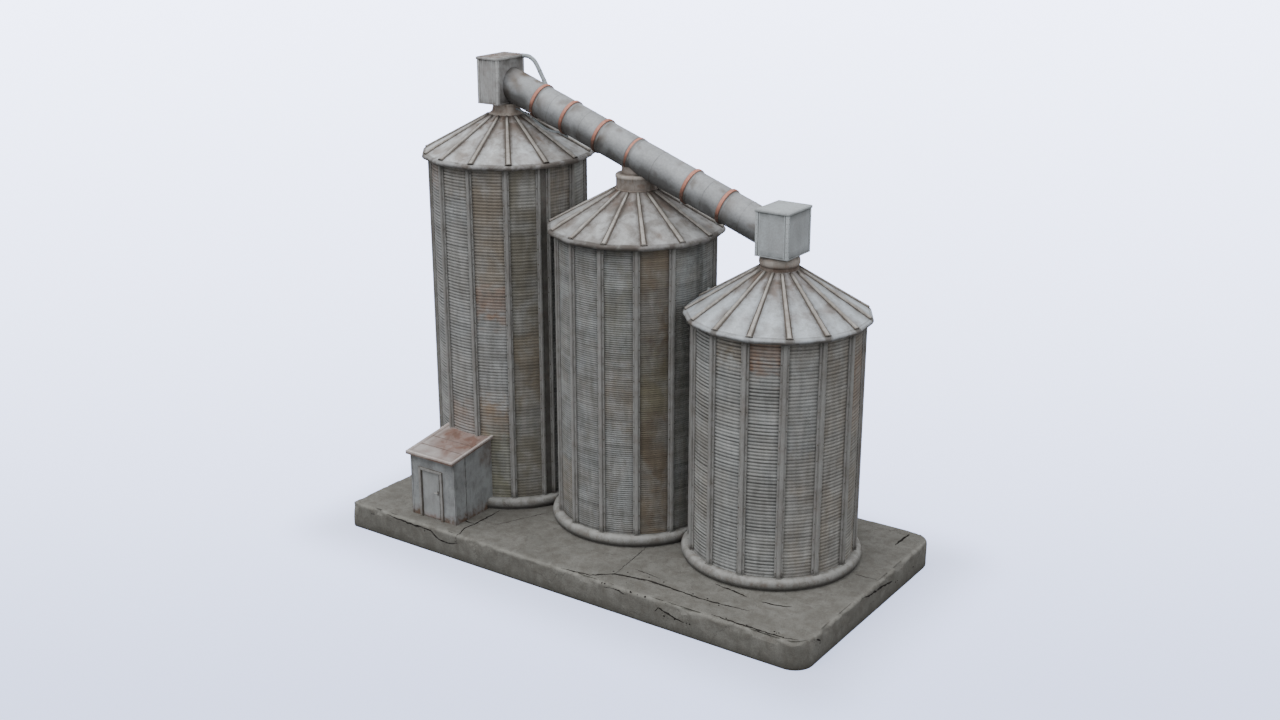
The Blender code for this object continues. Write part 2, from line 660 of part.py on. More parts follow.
def cylinder_guide(name, low_z, high_z):
    """Returns one hinge knuckle's shape on the door's axis, as a joining shape."""
    rings = [circle(AXIS_X, AXIS_Y, z, KNUCKLE_RADIUS, 12) for z in (low_z, high_z)]
    return as_guide(add_object(name, loft_shape(rings)))


def hinge_halves(side, face_y):
    """Returns the joining shapes of one side of every hinge: -1 on the jamb, 1 on the leaf."""
    guides = []
    owner = "leaf" if side > 0 else "jamb"
    for index, height in enumerate(HINGE_HEIGHTS):
        middle = SLAB_HEIGHT + height
        low = middle + GAP / 2 if side > 0 else middle - KNUCKLE_LENGTH
        high = low + KNUCKLE_LENGTH - GAP / 2
        start = AXIS_X + side * DOOR_CLEARANCE
        edges = sorted((start, AXIS_X + side * HINGE_PLATE[0]))
        plate = box_shape((edges[0], face_y - 0.01, low), (edges[1], face_y + HINGE_PLATE[1], high))
        arm = box_shape((min(AXIS_X, edges[0]), AXIS_Y - HINGE_ARM, low), (max(AXIS_X, edges[1]), AXIS_Y, high))
        guides.append(cylinder_guide(f"{owner}_knuckle_{index}", low, high))
        guides.append(as_guide(add_object(f"{owner}_arm_{index}", arm)))
        guides.append(as_guide(add_object(f"{owner}_plate_{index}", plate)))
    return guides


def build_door_frame():
    """Builds the frame, which stands proud of the front wall and carries half of each hinge."""
    outer_left, inner_left = DOORWAY_LEFT - FRAME_WIDTH, DOORWAY_LEFT
    inner_right = DOORWAY_LEFT + DOORWAY_WIDTH
    outer_right = inner_right + FRAME_WIDTH
    front, back = SHED_FRONT - FRAME_PROUD, SHED_FRONT + SHED_WALL
    floor, head = SLAB_HEIGHT + GAP, SLAB_HEIGHT + DOORWAY_HEIGHT
    jamb = add_object("door_jamb_left", box_shape((outer_left, front, floor), (inner_left, back, head - GAP)), DOOR_GREY)
    combine(jamb, hinge_halves(-1, back), "UNION")
    add_object("door_jamb_right", box_shape((inner_right, front, floor), (outer_right, back, head - GAP)), DOOR_GREY)
    add_object("door_head", box_shape((outer_left, front, head), (outer_right, back, head + FRAME_WIDTH)), DOOR_GREY)


def turned_about_hinge(name):
    """Returns the empty on the door's axis that the leaf and its handle hang from."""
    empty = bpy.data.objects.new(name, None)
    empty.location = (AXIS_X, AXIS_Y, SLAB_HEIGHT)
    bpy.context.scene.collection.objects.link(empty)
    return empty


def hang(thing, hinge):
    """Parents a piece to the hinge and keeps it where it was modelled."""
    thing.parent = hinge
    thing.location = -hinge.location


def build_door():
    """Builds the leaf, with its half of each hinge, and the lever handle on its outer face."""
    hinge = turned_about_hinge("door_hinge")
    left, inner = DOORWAY_LEFT + DOOR_CLEARANCE, LEAF_OUTER + LEAF_THICKNESS
    low = SLAB_HEIGHT + LEAF_LIFT
    leaf = add_object("door_leaf", box_shape((left, LEAF_OUTER, low), (left + LEAF_WIDTH, inner, low + LEAF_HEIGHT)),
                      DOOR_GREY)
    guides = hinge_halves(1, inner)
    combine(leaf, guides, "UNION")

    plate_x, plate_y, plate_z = HANDLE_PLATE
    middle = SLAB_HEIGHT + HANDLE_HEIGHT
    face = LEAF_OUTER - GAP
    plate = box_shape((HANDLE_X - plate_x / 2, face - plate_y, middle - plate_z / 2),
                      (HANDLE_X + plate_x / 2, face, middle + plate_z / 2))
    handle = add_object("door_handle", plate, HANDLE_STEEL)
    half, tip = LEVER_BAR / 2, HANDLE_X - LEVER_LENGTH
    reach = face - LEVER_REACH
    outline = ((HANDLE_X - half, face - plate_y / 2), (HANDLE_X - half, reach + LEVER_BAR), (tip, reach + LEVER_BAR),
               (tip, reach), (HANDLE_X + half, reach), (HANDLE_X + half, face - plate_y / 2))
    lever = as_guide(add_object("lever", prism_shape(outline, middle - half, middle + half)))
    combine(handle, [lever], "UNION")
    for piece in (leaf, handle, lever, *guides):
        hang(piece, hinge)


def build_plant():
    """Builds every piece of the plant."""
    build_slab()
    for silo, taller in ((TALL, None), (MIDDLE, TALL), (SHORT, MIDDLE)):
        build_plinth(silo)
        build_walls(silo)
        build_roof(silo, taller)
    build_head_box("tall", TALL_BOX_LOW, TALL_BOX_SIZE)
    build_head_box("short", SHORT_BOX_LOW, SHORT_BOX_SIZE)
    pipe_cutter = build_pipe()
    build_spouts(pipe_cutter, build_bands())
    build_small_pipes(pipe_cutter)
    build_hood()
    build_shed()
    build_door_frame()
    build_door()


remove_everything()
build_plant()
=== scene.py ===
"""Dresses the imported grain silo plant: corrugated shells, ribbed roofs, conveyor, shed and slab.

Lengths are metres in the row frame, with +Z up. +X runs from the tall silo to the short one and
the shed stands on the -Y side.
"""
import functools
import json
import logging
import math
from collections.abc import Callable, Iterable, Sequence
from dataclasses import dataclass, field
from enum import Enum
from types import SimpleNamespace

import bmesh
import bpy
from mathutils import Euler, Matrix, Vector, noise

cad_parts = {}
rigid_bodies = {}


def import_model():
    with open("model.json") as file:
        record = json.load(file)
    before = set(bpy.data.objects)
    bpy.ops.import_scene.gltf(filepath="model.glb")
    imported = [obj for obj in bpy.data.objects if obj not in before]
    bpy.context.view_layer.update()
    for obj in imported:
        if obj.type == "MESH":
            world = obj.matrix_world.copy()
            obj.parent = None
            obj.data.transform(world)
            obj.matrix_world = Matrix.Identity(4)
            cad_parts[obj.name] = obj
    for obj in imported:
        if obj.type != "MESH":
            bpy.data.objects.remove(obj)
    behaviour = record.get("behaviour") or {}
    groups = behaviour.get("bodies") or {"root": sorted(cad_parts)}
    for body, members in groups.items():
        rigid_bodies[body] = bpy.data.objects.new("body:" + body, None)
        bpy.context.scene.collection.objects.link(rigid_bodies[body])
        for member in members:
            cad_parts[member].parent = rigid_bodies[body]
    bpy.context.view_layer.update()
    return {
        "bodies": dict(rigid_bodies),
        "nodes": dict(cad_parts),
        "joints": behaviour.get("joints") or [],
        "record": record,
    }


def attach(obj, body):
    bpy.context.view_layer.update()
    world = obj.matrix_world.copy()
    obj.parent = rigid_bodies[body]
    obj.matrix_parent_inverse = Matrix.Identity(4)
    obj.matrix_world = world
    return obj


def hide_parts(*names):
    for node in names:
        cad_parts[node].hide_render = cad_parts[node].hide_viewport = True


log = logging.getLogger("silo_plant")

Tree = bpy.types.NodeTree
Node = bpy.types.Node
Thing = bpy.types.Object
Point = Sequence[float]
Tone = tuple[int, int, int]               # screen values from 0 to 255
Weather = tuple[float, float, float]      # grime and painted shade, rust, and worn, which also carries painted highlights, each from 0 to 1
Aging = Weather | list[Weather] | Callable[[Vector], Weather]
MARKS = ("grime", "rust", "worn")
CLEAN: Weather = (0.0, 0.0, 0.0)
SHADER, GEOMETRY = "ShaderNodeTree", "GeometryNodeTree"
ROW_Y = 0.55
SLAB_TOP = 1.1
SLAB_LENGTH = 21.6
SLAB_WIDTH = 10.8
PLINTH_HEIGHT = 0.45
POST_HEIGHT = 0.135
FLANGE_HEIGHT = 0.05
GAP = 0.0003                              # between pieces that stand on one another


class Body(Enum):
    """The CAD bodies that a piece can ride on."""

    PLANT = "plant"
    DOOR = "shed_door"


class Slot(Enum):
    """The record's material slots."""

    SLAB = "slab_concrete"
    PLINTH = "plinth_concrete"
    WALL = "wall_steel"
    ROOF = "roof_steel"
    SPOUT = "spout_steel"
    BOX = "box_steel"
    PIPE = "pipe_steel"
    BAND = "band_copper"
    SHED = "shed_panel"
    SHED_ROOF = "shed_roof_rust"
    DOOR = "door_paint"
    HANDLE = "handle_steel"


class Face(Enum):
    """The face of the slab that a crack runs over."""

    TOP = "top"
    FRONT = "front"
    RIGHT = "right"


class Tint(Enum):
    """The tints that a zone of a wall can take."""

    BROWN = (128, 116, 100)
    ORANGE = (152, 122, 102)
    OLIVE = (118, 116, 98)
    RUSSET = (100, 89, 73)
    # DARK is painted shade, for bays turned away from the light
    DARK = (112, 108, 97)


BROWN, ORANGE, OLIVE, RUSSET, DARK = Tint


@dataclass(frozen=True)
class Zone:
    """A tinted stretch of one bay of a wall: a stain, or painted shade where the tint is DARK."""

    bay: int
    low: float
    high: float
    tint: Tint
    strength: float


@dataclass(frozen=True)
class Silo:
    """One silo's sizes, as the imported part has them. Angles are degrees."""

    name: str
    x: float
    shell_radius: float
    plinth_radius: float
    eave_z: float
    eave_radius: float
    top_z: float
    top_radius: float
    ribs: int
    rib_phase: float
    posts: int
    post_phase: float
    post_width: float
    pitch: float                          # of the wall's waves
    faint: tuple[tuple[int, float], ...]  # bays where the painted shade in the waves' valleys is fainter, each with its share of it
    zones: tuple[Zone, ...]
    twins: tuple[int, ...] = ()           # post places with two narrow posts
    empties: tuple[int, ...] = ()         # post places with none

    @property
    def wave(self) -> float:
        """Height of one wave, so that a whole number of them fills the wall."""
        span = self.wall_high - self.wall_low
        return span / round(span / self.pitch)

    @property
    def wall_low(self) -> float:
        """Height of the wall's foot on the plinth."""
        return SLAB_TOP + PLINTH_HEIGHT + 2 * GAP

    @property
    def wall_high(self) -> float:
        """Height of the wall's top under the eave."""
        return self.eave_z - GAP

    def point(self, turn: float, radius: float, z: float) -> Vector:
        """Returns a point about the silo's axis.

        Args:
            turn: Angle from +X in radians.
            radius: Distance from the axis.
            z: Height.
        Returns:
            The point.
        """
        return Vector((self.x + radius * math.cos(turn), ROW_Y + radius * math.sin(turn), z))


TALL = Silo(
    "tall", x=-6.67, shell_radius=3.1, plinth_radius=3.44, eave_z=15.38, eave_radius=3.5, top_z=17.04,
    top_radius=0.7, ribs=14, rib_phase=1.2, posts=13, post_phase=-25.0, post_width=0.26, pitch=0.128,
    twins=(0,), faint=((11, 0.8), (12, 0.25), (0, 0.5), (1, 0.4)), zones=(
        Zone(9, 14.5, 15.6, ORANGE, 0.7), Zone(10, 14.2, 15.6, BROWN, 0.6), Zone(10, 4.2, 5.4, ORANGE, 0.4),
        Zone(11, 10.2, 15.6, BROWN, 0.75), Zone(11, 9.4, 10.3, ORANGE, 0.9), Zone(11, 1.0, 5.4, OLIVE, 0.8),
        Zone(11, 4.4, 5.6, ORANGE, 0.45), Zone(12, 0.0, 16.0, DARK, 0.95), Zone(12, 5.6, 8.6, BROWN, 0.45),
        Zone(0, 12.8, 15.6, BROWN, 0.6), Zone(1, 9.0, 15.6, DARK, 0.5), Zone(4, 6.0, 12.0, BROWN, 0.5),
        Zone(6, 1.0, 7.0, OLIVE, 0.6)))
MIDDLE = Silo(
    "middle", x=-0.34, shell_radius=3.09, plinth_radius=3.44, eave_z=13.14, eave_radius=3.5, top_z=14.76,
    top_radius=0.8, ribs=14, rib_phase=1.2, posts=14, post_phase=-3.5, post_width=0.28, pitch=0.087,
    empties=(0, 7), faint=((12, 0.35), (13, 0.4)), zones=(
        Zone(9, 2.3, 4.0, BROWN, 0.5), Zone(11, 6.0, 8.6, BROWN, 0.5), Zone(11, 9.0, 12.0, OLIVE, 0.3),
        Zone(12, 0.0, 14.0, RUSSET, 0.9), Zone(12, 11.6, 13.4, BROWN, 0.3), Zone(12, 6.5, 9.0, OLIVE, 0.5),
        Zone(12, 1.0, 3.4, BROWN, 0.3), Zone(13, 0.0, 14.0, DARK, 0.15), Zone(3, 1.0, 8.0, BROWN, 0.5),
        Zone(5, 8.0, 13.4, OLIVE, 0.6)))
SHORT = Silo(
    "short", x=6.08, shell_radius=3.18, plinth_radius=3.53, eave_z=10.73, eave_radius=3.55, top_z=12.6,
    top_radius=0.75, ribs=15, rib_phase=18.4, posts=14, post_phase=-4.0, post_width=0.32, pitch=0.135,
    empties=(7,), faint=((12, 0.6), (13, 0.7), (0, 0.6)), zones=(
        Zone(10, 9.85, 11.0, BROWN, 0.75), Zone(11, 9.75, 11.0, ORANGE, 0.95),
        Zone(12, 9.9, 11.0, BROWN, 0.3), Zone(12, 1.0, 6.5, BROWN, 0.4), Zone(13, 0.0, 11.0, BROWN, 0.5),
        Zone(9, 3.0, 8.0, BROWN, 0.25), Zone(0, 0.0, 11.0, BROWN, 0.6), Zone(0, 7.0, 10.0, ORANGE, 0.35),
        Zone(2, 1.0, 6.0, OLIVE, 0.6), Zone(4, 6.0, 11.0, BROWN, 0.5)))
SILOS = (TALL, MIDDLE, SHORT)


# Node wiring


def tone(red: int, green: int, blue: int) -> tuple[float, ...]:
    """Returns the linear colour of a screen tone.

    Args:
        red: Screen value from 0 to 255.
        green: Screen value from 0 to 255.
        blue: Screen value from 0 to 255.
    Returns:
        Linear red, green, blue and 1.
    """
    shares = [value / 255 for value in (red, green, blue)]
    return (*[share / 12.92 if share <= 0.04045 else ((share + 0.055) / 1.055) ** 2.4
              for share in shares], 1.0)


def label(name: str) -> str:
    """Returns the socket name of an input or output, such as Blotch Size of blotch_size."""
    return name.replace("_", " ").title()


@dataclass(frozen=True)
class Signal:
    """A node's output. Sums and products of signals become Math nodes."""

    wiring: "Wiring"
    socket: bpy.types.NodeSocket

    def math(self, operation: str, *others: object) -> "Signal":
        """Returns what a Math node makes of this signal and others."""
        return self.wiring.make("ShaderNodeMath", dict(enumerate((self, *others))), operation=operation)

    def __add__(self, other: object) -> "Signal":
        """Returns the sum."""
        return self.math("ADD", other)

    def __sub__(self, other: object) -> "Signal":
        """Returns the difference."""
        return self.math("SUBTRACT", other)

    def __rsub__(self, other: float) -> "Signal":
        """Returns this signal taken from a number."""
        return self.wiring.make("ShaderNodeMath", {0: other, 1: self}, operation="SUBTRACT")

    def __mul__(self, other: object) -> "Signal":
        """Returns the product."""
        return self.math("MULTIPLY", other)

    def __truediv__(self, other: object) -> "Signal":
        """Returns the quotient."""
        return self.math("DIVIDE", other)

    def __rtruediv__(self, other: float) -> "Signal":
        """Returns a number divided by this signal."""
        return self.wiring.make("ShaderNodeMath", {0: other, 1: self}, operation="DIVIDE")

    def clamped(self) -> "Signal":
        """Keeps the result of this Math node from 0 to 1."""
        self.socket.node.use_clamp = True
        return self

    def span(self, start: object, end: object, low: float = 0.0, high: float = 1.0) -> "Signal":
        """Returns a smooth step of this signal.

        Args:
            start: Value that gives low.
            end: Value that gives high.
            low: Result at the start.
            high: Result at the end.
        Returns:
            The step.
        """
        keys = {"Value": self, "From Min": start, "From Max": end, "To Min": low, "To Max": high}
        return self.wiring.make("ShaderNodeMapRange", keys, interpolation_type="SMOOTHSTEP")


@dataclass
class Wiring:
    """Adds nodes to one tree and joins them up."""

    tree: Tree

    @property
    def shader(self) -> Node:
        """A material's Principled shader."""
        return self.tree.nodes["Principled BSDF"]

    def feed(self, socket: bpy.types.NodeSocket, value: object) -> None:
        """Links an input or sets its constant.

        Args:
            socket: The input to fill.
            value: A signal or a constant.
        """
        if isinstance(value, Signal):
            self.tree.links.new(value.socket, socket)
        else:
            socket.default_value = value

    def make(self, kind: str, inputs: dict | None = None, output: int = 0, **settings: object) -> Signal:
        """Adds one node and returns one of its outputs.

        Args:
            kind: The node's type name.
            inputs: Signals or constants for its inputs, by name or number.
            output: Which output.
            settings: The node's own properties.
        Returns:
            The output's signal.
        """
        node = self.tree.nodes.new(kind)
        for name, value in settings.items():
            setattr(node, name, value)
        for key, value in (inputs or {}).items():
            self.feed(node.inputs[key], value)
        return Signal(self, node.outputs[output])

    def use(self, group: Tree, **values: object) -> SimpleNamespace:
        """Places a node group.

        Args:
            group: The group.
            values: Its inputs, by the names that new_group() was given.
        Returns:
            The group's outputs, by the same kind of names.
        """
        node = self.tree.nodes.new("ShaderNodeGroup")
        node.node_tree = group
        for name, value in values.items():
            self.feed(node.inputs[label(name)], value)
        return SimpleNamespace(**{
            output.name.lower().replace(" ", "_"): Signal(self, output) for output in node.outputs})

    def mix(self, share: object, first: object, second: object, blend: str = "MIX") -> Signal:
        """Returns a mix of two colours.

        Args:
            share: How much of the second.
            first: First colour.
            second: Second colour.
            blend: Blending mode.
        Returns:
            The mixed colour.
        """
        return self.make("ShaderNodeMix", {0: share, 6: first, 7: second}, 2, data_type="RGBA",
                         blend_type=blend)

    def tinted(self, colour: object, tint: Signal | tuple[float, ...]) -> Signal:
        """Returns a colour multiplied by a value or by a constant colour."""
        factor = self.vector(tint, tint, tint) if isinstance(tint, Signal) else tint
        return self.mix(1.0, colour, factor, "MULTIPLY")

    def vector(self, x: object = 0.0, y: object = 0.0, z: object = 0.0) -> Signal:
        """Returns a vector of three values."""
        return self.make("ShaderNodeCombineXYZ", {0: x, 1: y, 2: z})

    def vector_math(self, operation: str, *values: object, output: int = 0) -> Signal:
        """Returns what a Vector Math node makes of its inputs."""
        return self.make("ShaderNodeVectorMath", dict(enumerate(values)), output, operation=operation)

    def chance(self, x: object, y: object, z: object) -> Signal:
        """Returns a random number from 0 to 1 that is the same wherever x, y and z are."""
        return self.make("ShaderNodeTexWhiteNoise", {"Vector": self.vector(x, y, z)}, noise_dimensions="3D")

    def attribute(self, name: str) -> Signal:
        """Returns a mesh attribute's value in a shader."""
        return self.make("ShaderNodeAttribute", output=2, attribute_name=name)

    def here(self) -> Signal:
        """Returns the object coordinates."""
        return self.make("ShaderNodeTexCoord", output=3)

    def split(self, vector: Signal) -> list[Signal]:
        """Returns a vector's three parts."""
        first = self.make("ShaderNodeSeparateXYZ", {0: vector})
        return [Signal(self, output) for output in first.socket.node.outputs]

    def store(self, geometry: Signal, name: str, value: Signal) -> Signal:
        """Keeps a value at each point of a geometry under a name."""
        return self.make("GeometryNodeStoreNamedAttribute", {
            "Geometry": geometry, "Name": name, "Value": value}, data_type="FLOAT", domain="POINT")

    def named(self, name: str, kind: str = "FLOAT") -> Signal:
        """Returns what is kept at each point under a name."""
        return self.make("GeometryNodeInputNamedAttribute", {"Name": name}, data_type=kind)

    def join(self, *parts: Signal) -> Signal:
        """Joins parts of a geometry.

        Args:
            parts: The parts in order.
        Returns:
            The joined geometry.
        """
        joined = self.make("GeometryNodeJoinGeometry")
        for part in parts:
            self.feed(joined.socket.node.inputs[0], part)
        return joined

    def finish(self, **values: Signal) -> Tree:
        """Feeds the group's outputs.

        Args:
            values: The outputs' signals by name.
        Returns:
            The group.
        """
        for name, value in values.items():
            self.feed(self.tree.nodes["Group Output"].inputs[label(name)], value)
        return self.tree

    def finish_geometry(self, geometry: Signal, material: Signal) -> Tree:
        """Ends a geometry tree in Realize Instances and Set Material.

        Args:
            geometry: What the tree has made.
            material: The material that it takes.
        Returns:
            The tree.
        """
        real = self.make("GeometryNodeRealizeInstances", {"Geometry": geometry})
        return self.finish(geometry=self.make("GeometryNodeSetMaterial", {
            "Geometry": real, "Material": material}))


def new_group(name: str, kind: str, inputs: dict[str, object],
              **outputs: str) -> tuple[Wiring, SimpleNamespace]:
    """Starts a node group with named sockets.

    Args:
        name: The group's name.
        kind: The tree's type name.
        inputs: Each input's default value, or its socket type in words.
        outputs: Each output's socket type.
    Returns:
        The wiring, and the inputs' signals by name.
    """
    wiring = Wiring(bpy.data.node_groups.new(name, kind))
    new_socket = wiring.tree.interface.new_socket
    for key, given in inputs.items():
        words = given if isinstance(given, str) else type(given).__name__.title()
        socket = new_socket(label(key), in_out="INPUT", socket_type=f"NodeSocket{words}")
        if not isinstance(given, str):
            socket.default_value = given
    for key, words in outputs.items():
        new_socket(label(key), in_out="OUTPUT", socket_type=f"NodeSocket{words}")
    start = wiring.tree.nodes.new("NodeGroupInput")
    wiring.tree.nodes.new("NodeGroupOutput")
    return wiring, SimpleNamespace(**{key: Signal(wiring, start.outputs[label(key)]) for key in inputs})


# Shader effects


@functools.cache
def patches_group() -> Tree:
    """Builds the effect that gives soft irregular patches.

    Returns:
        The effect.
    """
    wiring, given = new_group("weather_patches", SHADER, dict(
        size=1.0, upright_stretch=1.0, start=0.45, end=0.6, shift=0.0, roughness=0.6), mask="Float")
    flat = 1.0 / given.size
    scale = wiring.vector(flat, flat, flat / given.upright_stretch)
    scaled = wiring.vector_math("MULTIPLY", wiring.here(), scale)
    cloud = wiring.make("ShaderNodeTexNoise", {
        "Vector": wiring.vector_math("ADD", scaled, given.shift), "Scale": 1.0, "Detail": 6.0,
        "Roughness": given.roughness, "Distortion": 0.4})
    return wiring.finish(mask=cloud.span(given.start, given.end))


def layer(wiring: Wiring, given: SimpleNamespace, start: float, end: float, share: float, stretch: object,
          moved: float, roughness: float = 0.6) -> Signal:
    """Returns one layer of patches.

    Args:
        wiring: The effect's wiring.
        given: The effect's inputs.
        start: Noise value where a patch starts.
        end: Noise value where it is full.
        share: The patches' size as a share of the effect's blotches.
        stretch: How much taller than wide they are.
        moved: Moves the pattern.
        roughness: Roughness of the noise.
    Returns:
        The layer's mask.
    """
    return wiring.use(patches_group(), size=given.blotch_size * share, upright_stretch=stretch, start=start,
                      end=end, shift=given.shift + moved, roughness=roughness).mask


@functools.cache
def around_axis_group() -> Tree:
    """Builds the effect that numbers the bays around a silo and measures from their edges.

    Returns:
        The effect.
    """
    wiring, given = new_group("bays_around_axis", SHADER, dict(
        centre_x=0.0, centre_y=0.0, places=14.0, phase=0.0),
        place="Float", edge_distance="Float", arc="Float")
    x, y, _ = wiring.split(wiring.here())
    x, y = x - given.centre_x, y - given.centre_y
    angle = y.math("ARCTAN2", x) - given.phase
    turns = (angle / (2 * math.pi)).math("WRAP", 1.0, 0.0)
    counted = turns * given.places
    across = counted.math("FRACT")
    circumference = (x.math("POWER", 2.0) + y.math("POWER", 2.0)).math("SQRT") * (2 * math.pi)
    near = across.math("MINIMUM", 1.0 - across)
    return wiring.finish(place=counted.math("FLOOR"), edge_distance=near * (circumference / given.places),
                         arc=turns * circumference)


@functools.cache
def steel_group() -> Tree:
    """Builds the effect of galvanised or painted steel that weather has marked, with painted shade from the
    grime mask and painted highlights from the worn mask.

    Returns:
        The effect.
    """
    wiring, given = new_group("weathered_steel", SHADER, dict(
        base="Color", shade="Color", rust="Color", grime="Color", blotch_size=0.8, streak_length=3.0,
        rust_amount=0.1, grime_amount=0.5, roughness=0.6, shift=0.0, rust_mask=0.0, grime_mask=0.0,
        worn_mask=0.0), color="Color", roughness="Float", height="Float")
    broad = layer(wiring, given, 0.38, 0.66, 1.0, 1.0, 0.0)
    streaks = layer(wiring, given, 0.46, 0.7, 0.28, given.streak_length, 7.0)
    spots = layer(wiring, given, 0.5, 0.66, 0.55, 1.3, 13.0)
    grain = layer(wiring, given, 0.25, 0.75, 0.05, 1.0, 21.0)
    colour = wiring.mix(broad * 0.8, given.base, given.shade)
    colour = wiring.mix(streaks * 0.4, colour, given.shade)
    colour = wiring.tinted(colour, grain.span(0.0, 1.0, 0.9, 1.08))
    loose = spots * 0.2 + broad.span(0.0, 1.0, 0.6, 1.0)
    rust = (spots * given.rust_amount + given.rust_mask * loose).clamped()
    colour = wiring.mix(rust, colour, wiring.mix(grain * 0.5, given.rust, given.grime))
    # The grime mask carries dirt and also painted shade.
    dirt_and_shade = given.grime_mask * broad.span(0.0, 1.0, 0.75, 1.15)
    colour = wiring.mix((dirt_and_shade + streaks * 0.18).clamped() * given.grime_amount, colour, given.grime)
    # The worn mask lightens worn spots and also painted highlights.
    bright = wiring.tinted(colour, (1.35, 1.33, 1.3, 1.0))
    rough = broad * 0.1 + given.roughness
    return wiring.finish(color=wiring.mix(given.worn_mask * 0.8, colour, bright),
                         roughness=(rust * 0.2 + rough).clamped(), height=rust * 0.6 + grain * 0.4)


@functools.cache
def concrete_group() -> Tree:
    """Builds the effect of old cast concrete with stains, pits, hairline cracks and runs of water.

    Returns:
        The effect.
    """
    wiring, given = new_group("weathered_concrete", SHADER, dict(
        base="Color", light="Color", dark="Color", stain="Color", blotch_size=1.0, stain_amount=0.1,
        shift=0.0, grime_mask=0.0, rust_mask=0.0, worn_mask=0.0),
        color="Color", roughness="Float", height="Float")
    broad = layer(wiring, given, 0.36, 0.64, 1.0, 1.0, 0.0, 0.65)
    middling = layer(wiring, given, 0.34, 0.7, 0.3, 1.0, 5.0, 0.65)
    runs = layer(wiring, given, 0.5, 0.7, 0.18, 6.0, 9.0, 0.65)
    pits = layer(wiring, given, 0.6, 0.68, 0.05, 1.0, 15.0, 0.65)
    grain = layer(wiring, given, 0.2, 0.8, 0.03, 1.0, 19.0, 0.65)
    colour = wiring.mix(broad, given.base, given.light)
    colour = wiring.mix(middling * 0.55, colour, given.dark)
    colour = wiring.mix(runs * 0.3, colour, given.dark)
    rust = (middling * given.stain_amount + given.rust_mask * runs).clamped()
    colour = wiring.tinted(wiring.mix(rust, colour, given.stain), grain.span(0.0, 1.0, 0.86, 1.12))
    black = wiring.tinted(given.dark, (0.45, 0.44, 0.43, 1.0))
    colour = wiring.mix(pits * 0.4, colour, black)
    place = wiring.here()
    bend = wiring.make("ShaderNodeTexNoise", {
        "Vector": place, "Scale": 1.6, "Detail": 4.0, "Roughness": 0.7}, 1)
    warped = wiring.vector_math("MULTIPLY_ADD", bend, (0.9, 0.9, 0.9), place)
    cells = wiring.make("ShaderNodeTexVoronoi", {"Vector": warped, "Scale": 0.42}, feature="DISTANCE_TO_EDGE")
    colour = wiring.mix(cells.span(0.0, 0.012, 0.5, 0.0) * broad, colour, black)
    # The grime mask carries dirt and painted shade; the worn mask carries wear and painted highlights.
    colour = wiring.mix(given.grime_mask * 0.85, colour, black)
    worn = given.worn_mask * middling.span(0.0, 1.0, 0.9, 0.35)
    return wiring.finish(color=wiring.mix(worn, colour, wiring.tinted(given.light, (1.4, 1.4, 1.38, 1.0))),
                         roughness=broad.span(0.0, 1.0, 0.82, 0.95),
                         height=middling * 0.6 + (pits * -0.8 + grain * 0.35))


# Finishes


class Finish:
    """What every finish shares: it makes its material once."""

    name: str
    bump: float

    def dress(self, wiring: Wiring) -> None:
        """Wires the material's nodes to its shader."""
        raise NotImplementedError

    @functools.cache
    def material(self) -> bpy.types.Material:
        """Makes the finish's material.

        Returns:
            The material, the same one each time.
        """
        material = bpy.data.materials.new(self.name)
        material.use_nodes = True
        self.dress(Wiring(material.node_tree))
        return material

    def join(self, wiring: Wiring, colour: Signal, effect: SimpleNamespace) -> None:
        """Feeds an effect's outputs to the shader.

        Args:
            wiring: The material's wiring.
            colour: The colour to show.
            effect: The effect whose roughness and height are used.
        """
        inputs = wiring.shader.inputs
        relief = {"Strength": self.bump, "Distance": 0.02, "Height": effect.height}
        wiring.feed(inputs["Base Color"], colour)
        wiring.feed(inputs["Roughness"], effect.roughness)
        wiring.feed(inputs["Normal"], wiring.make("ShaderNodeBump", relief))


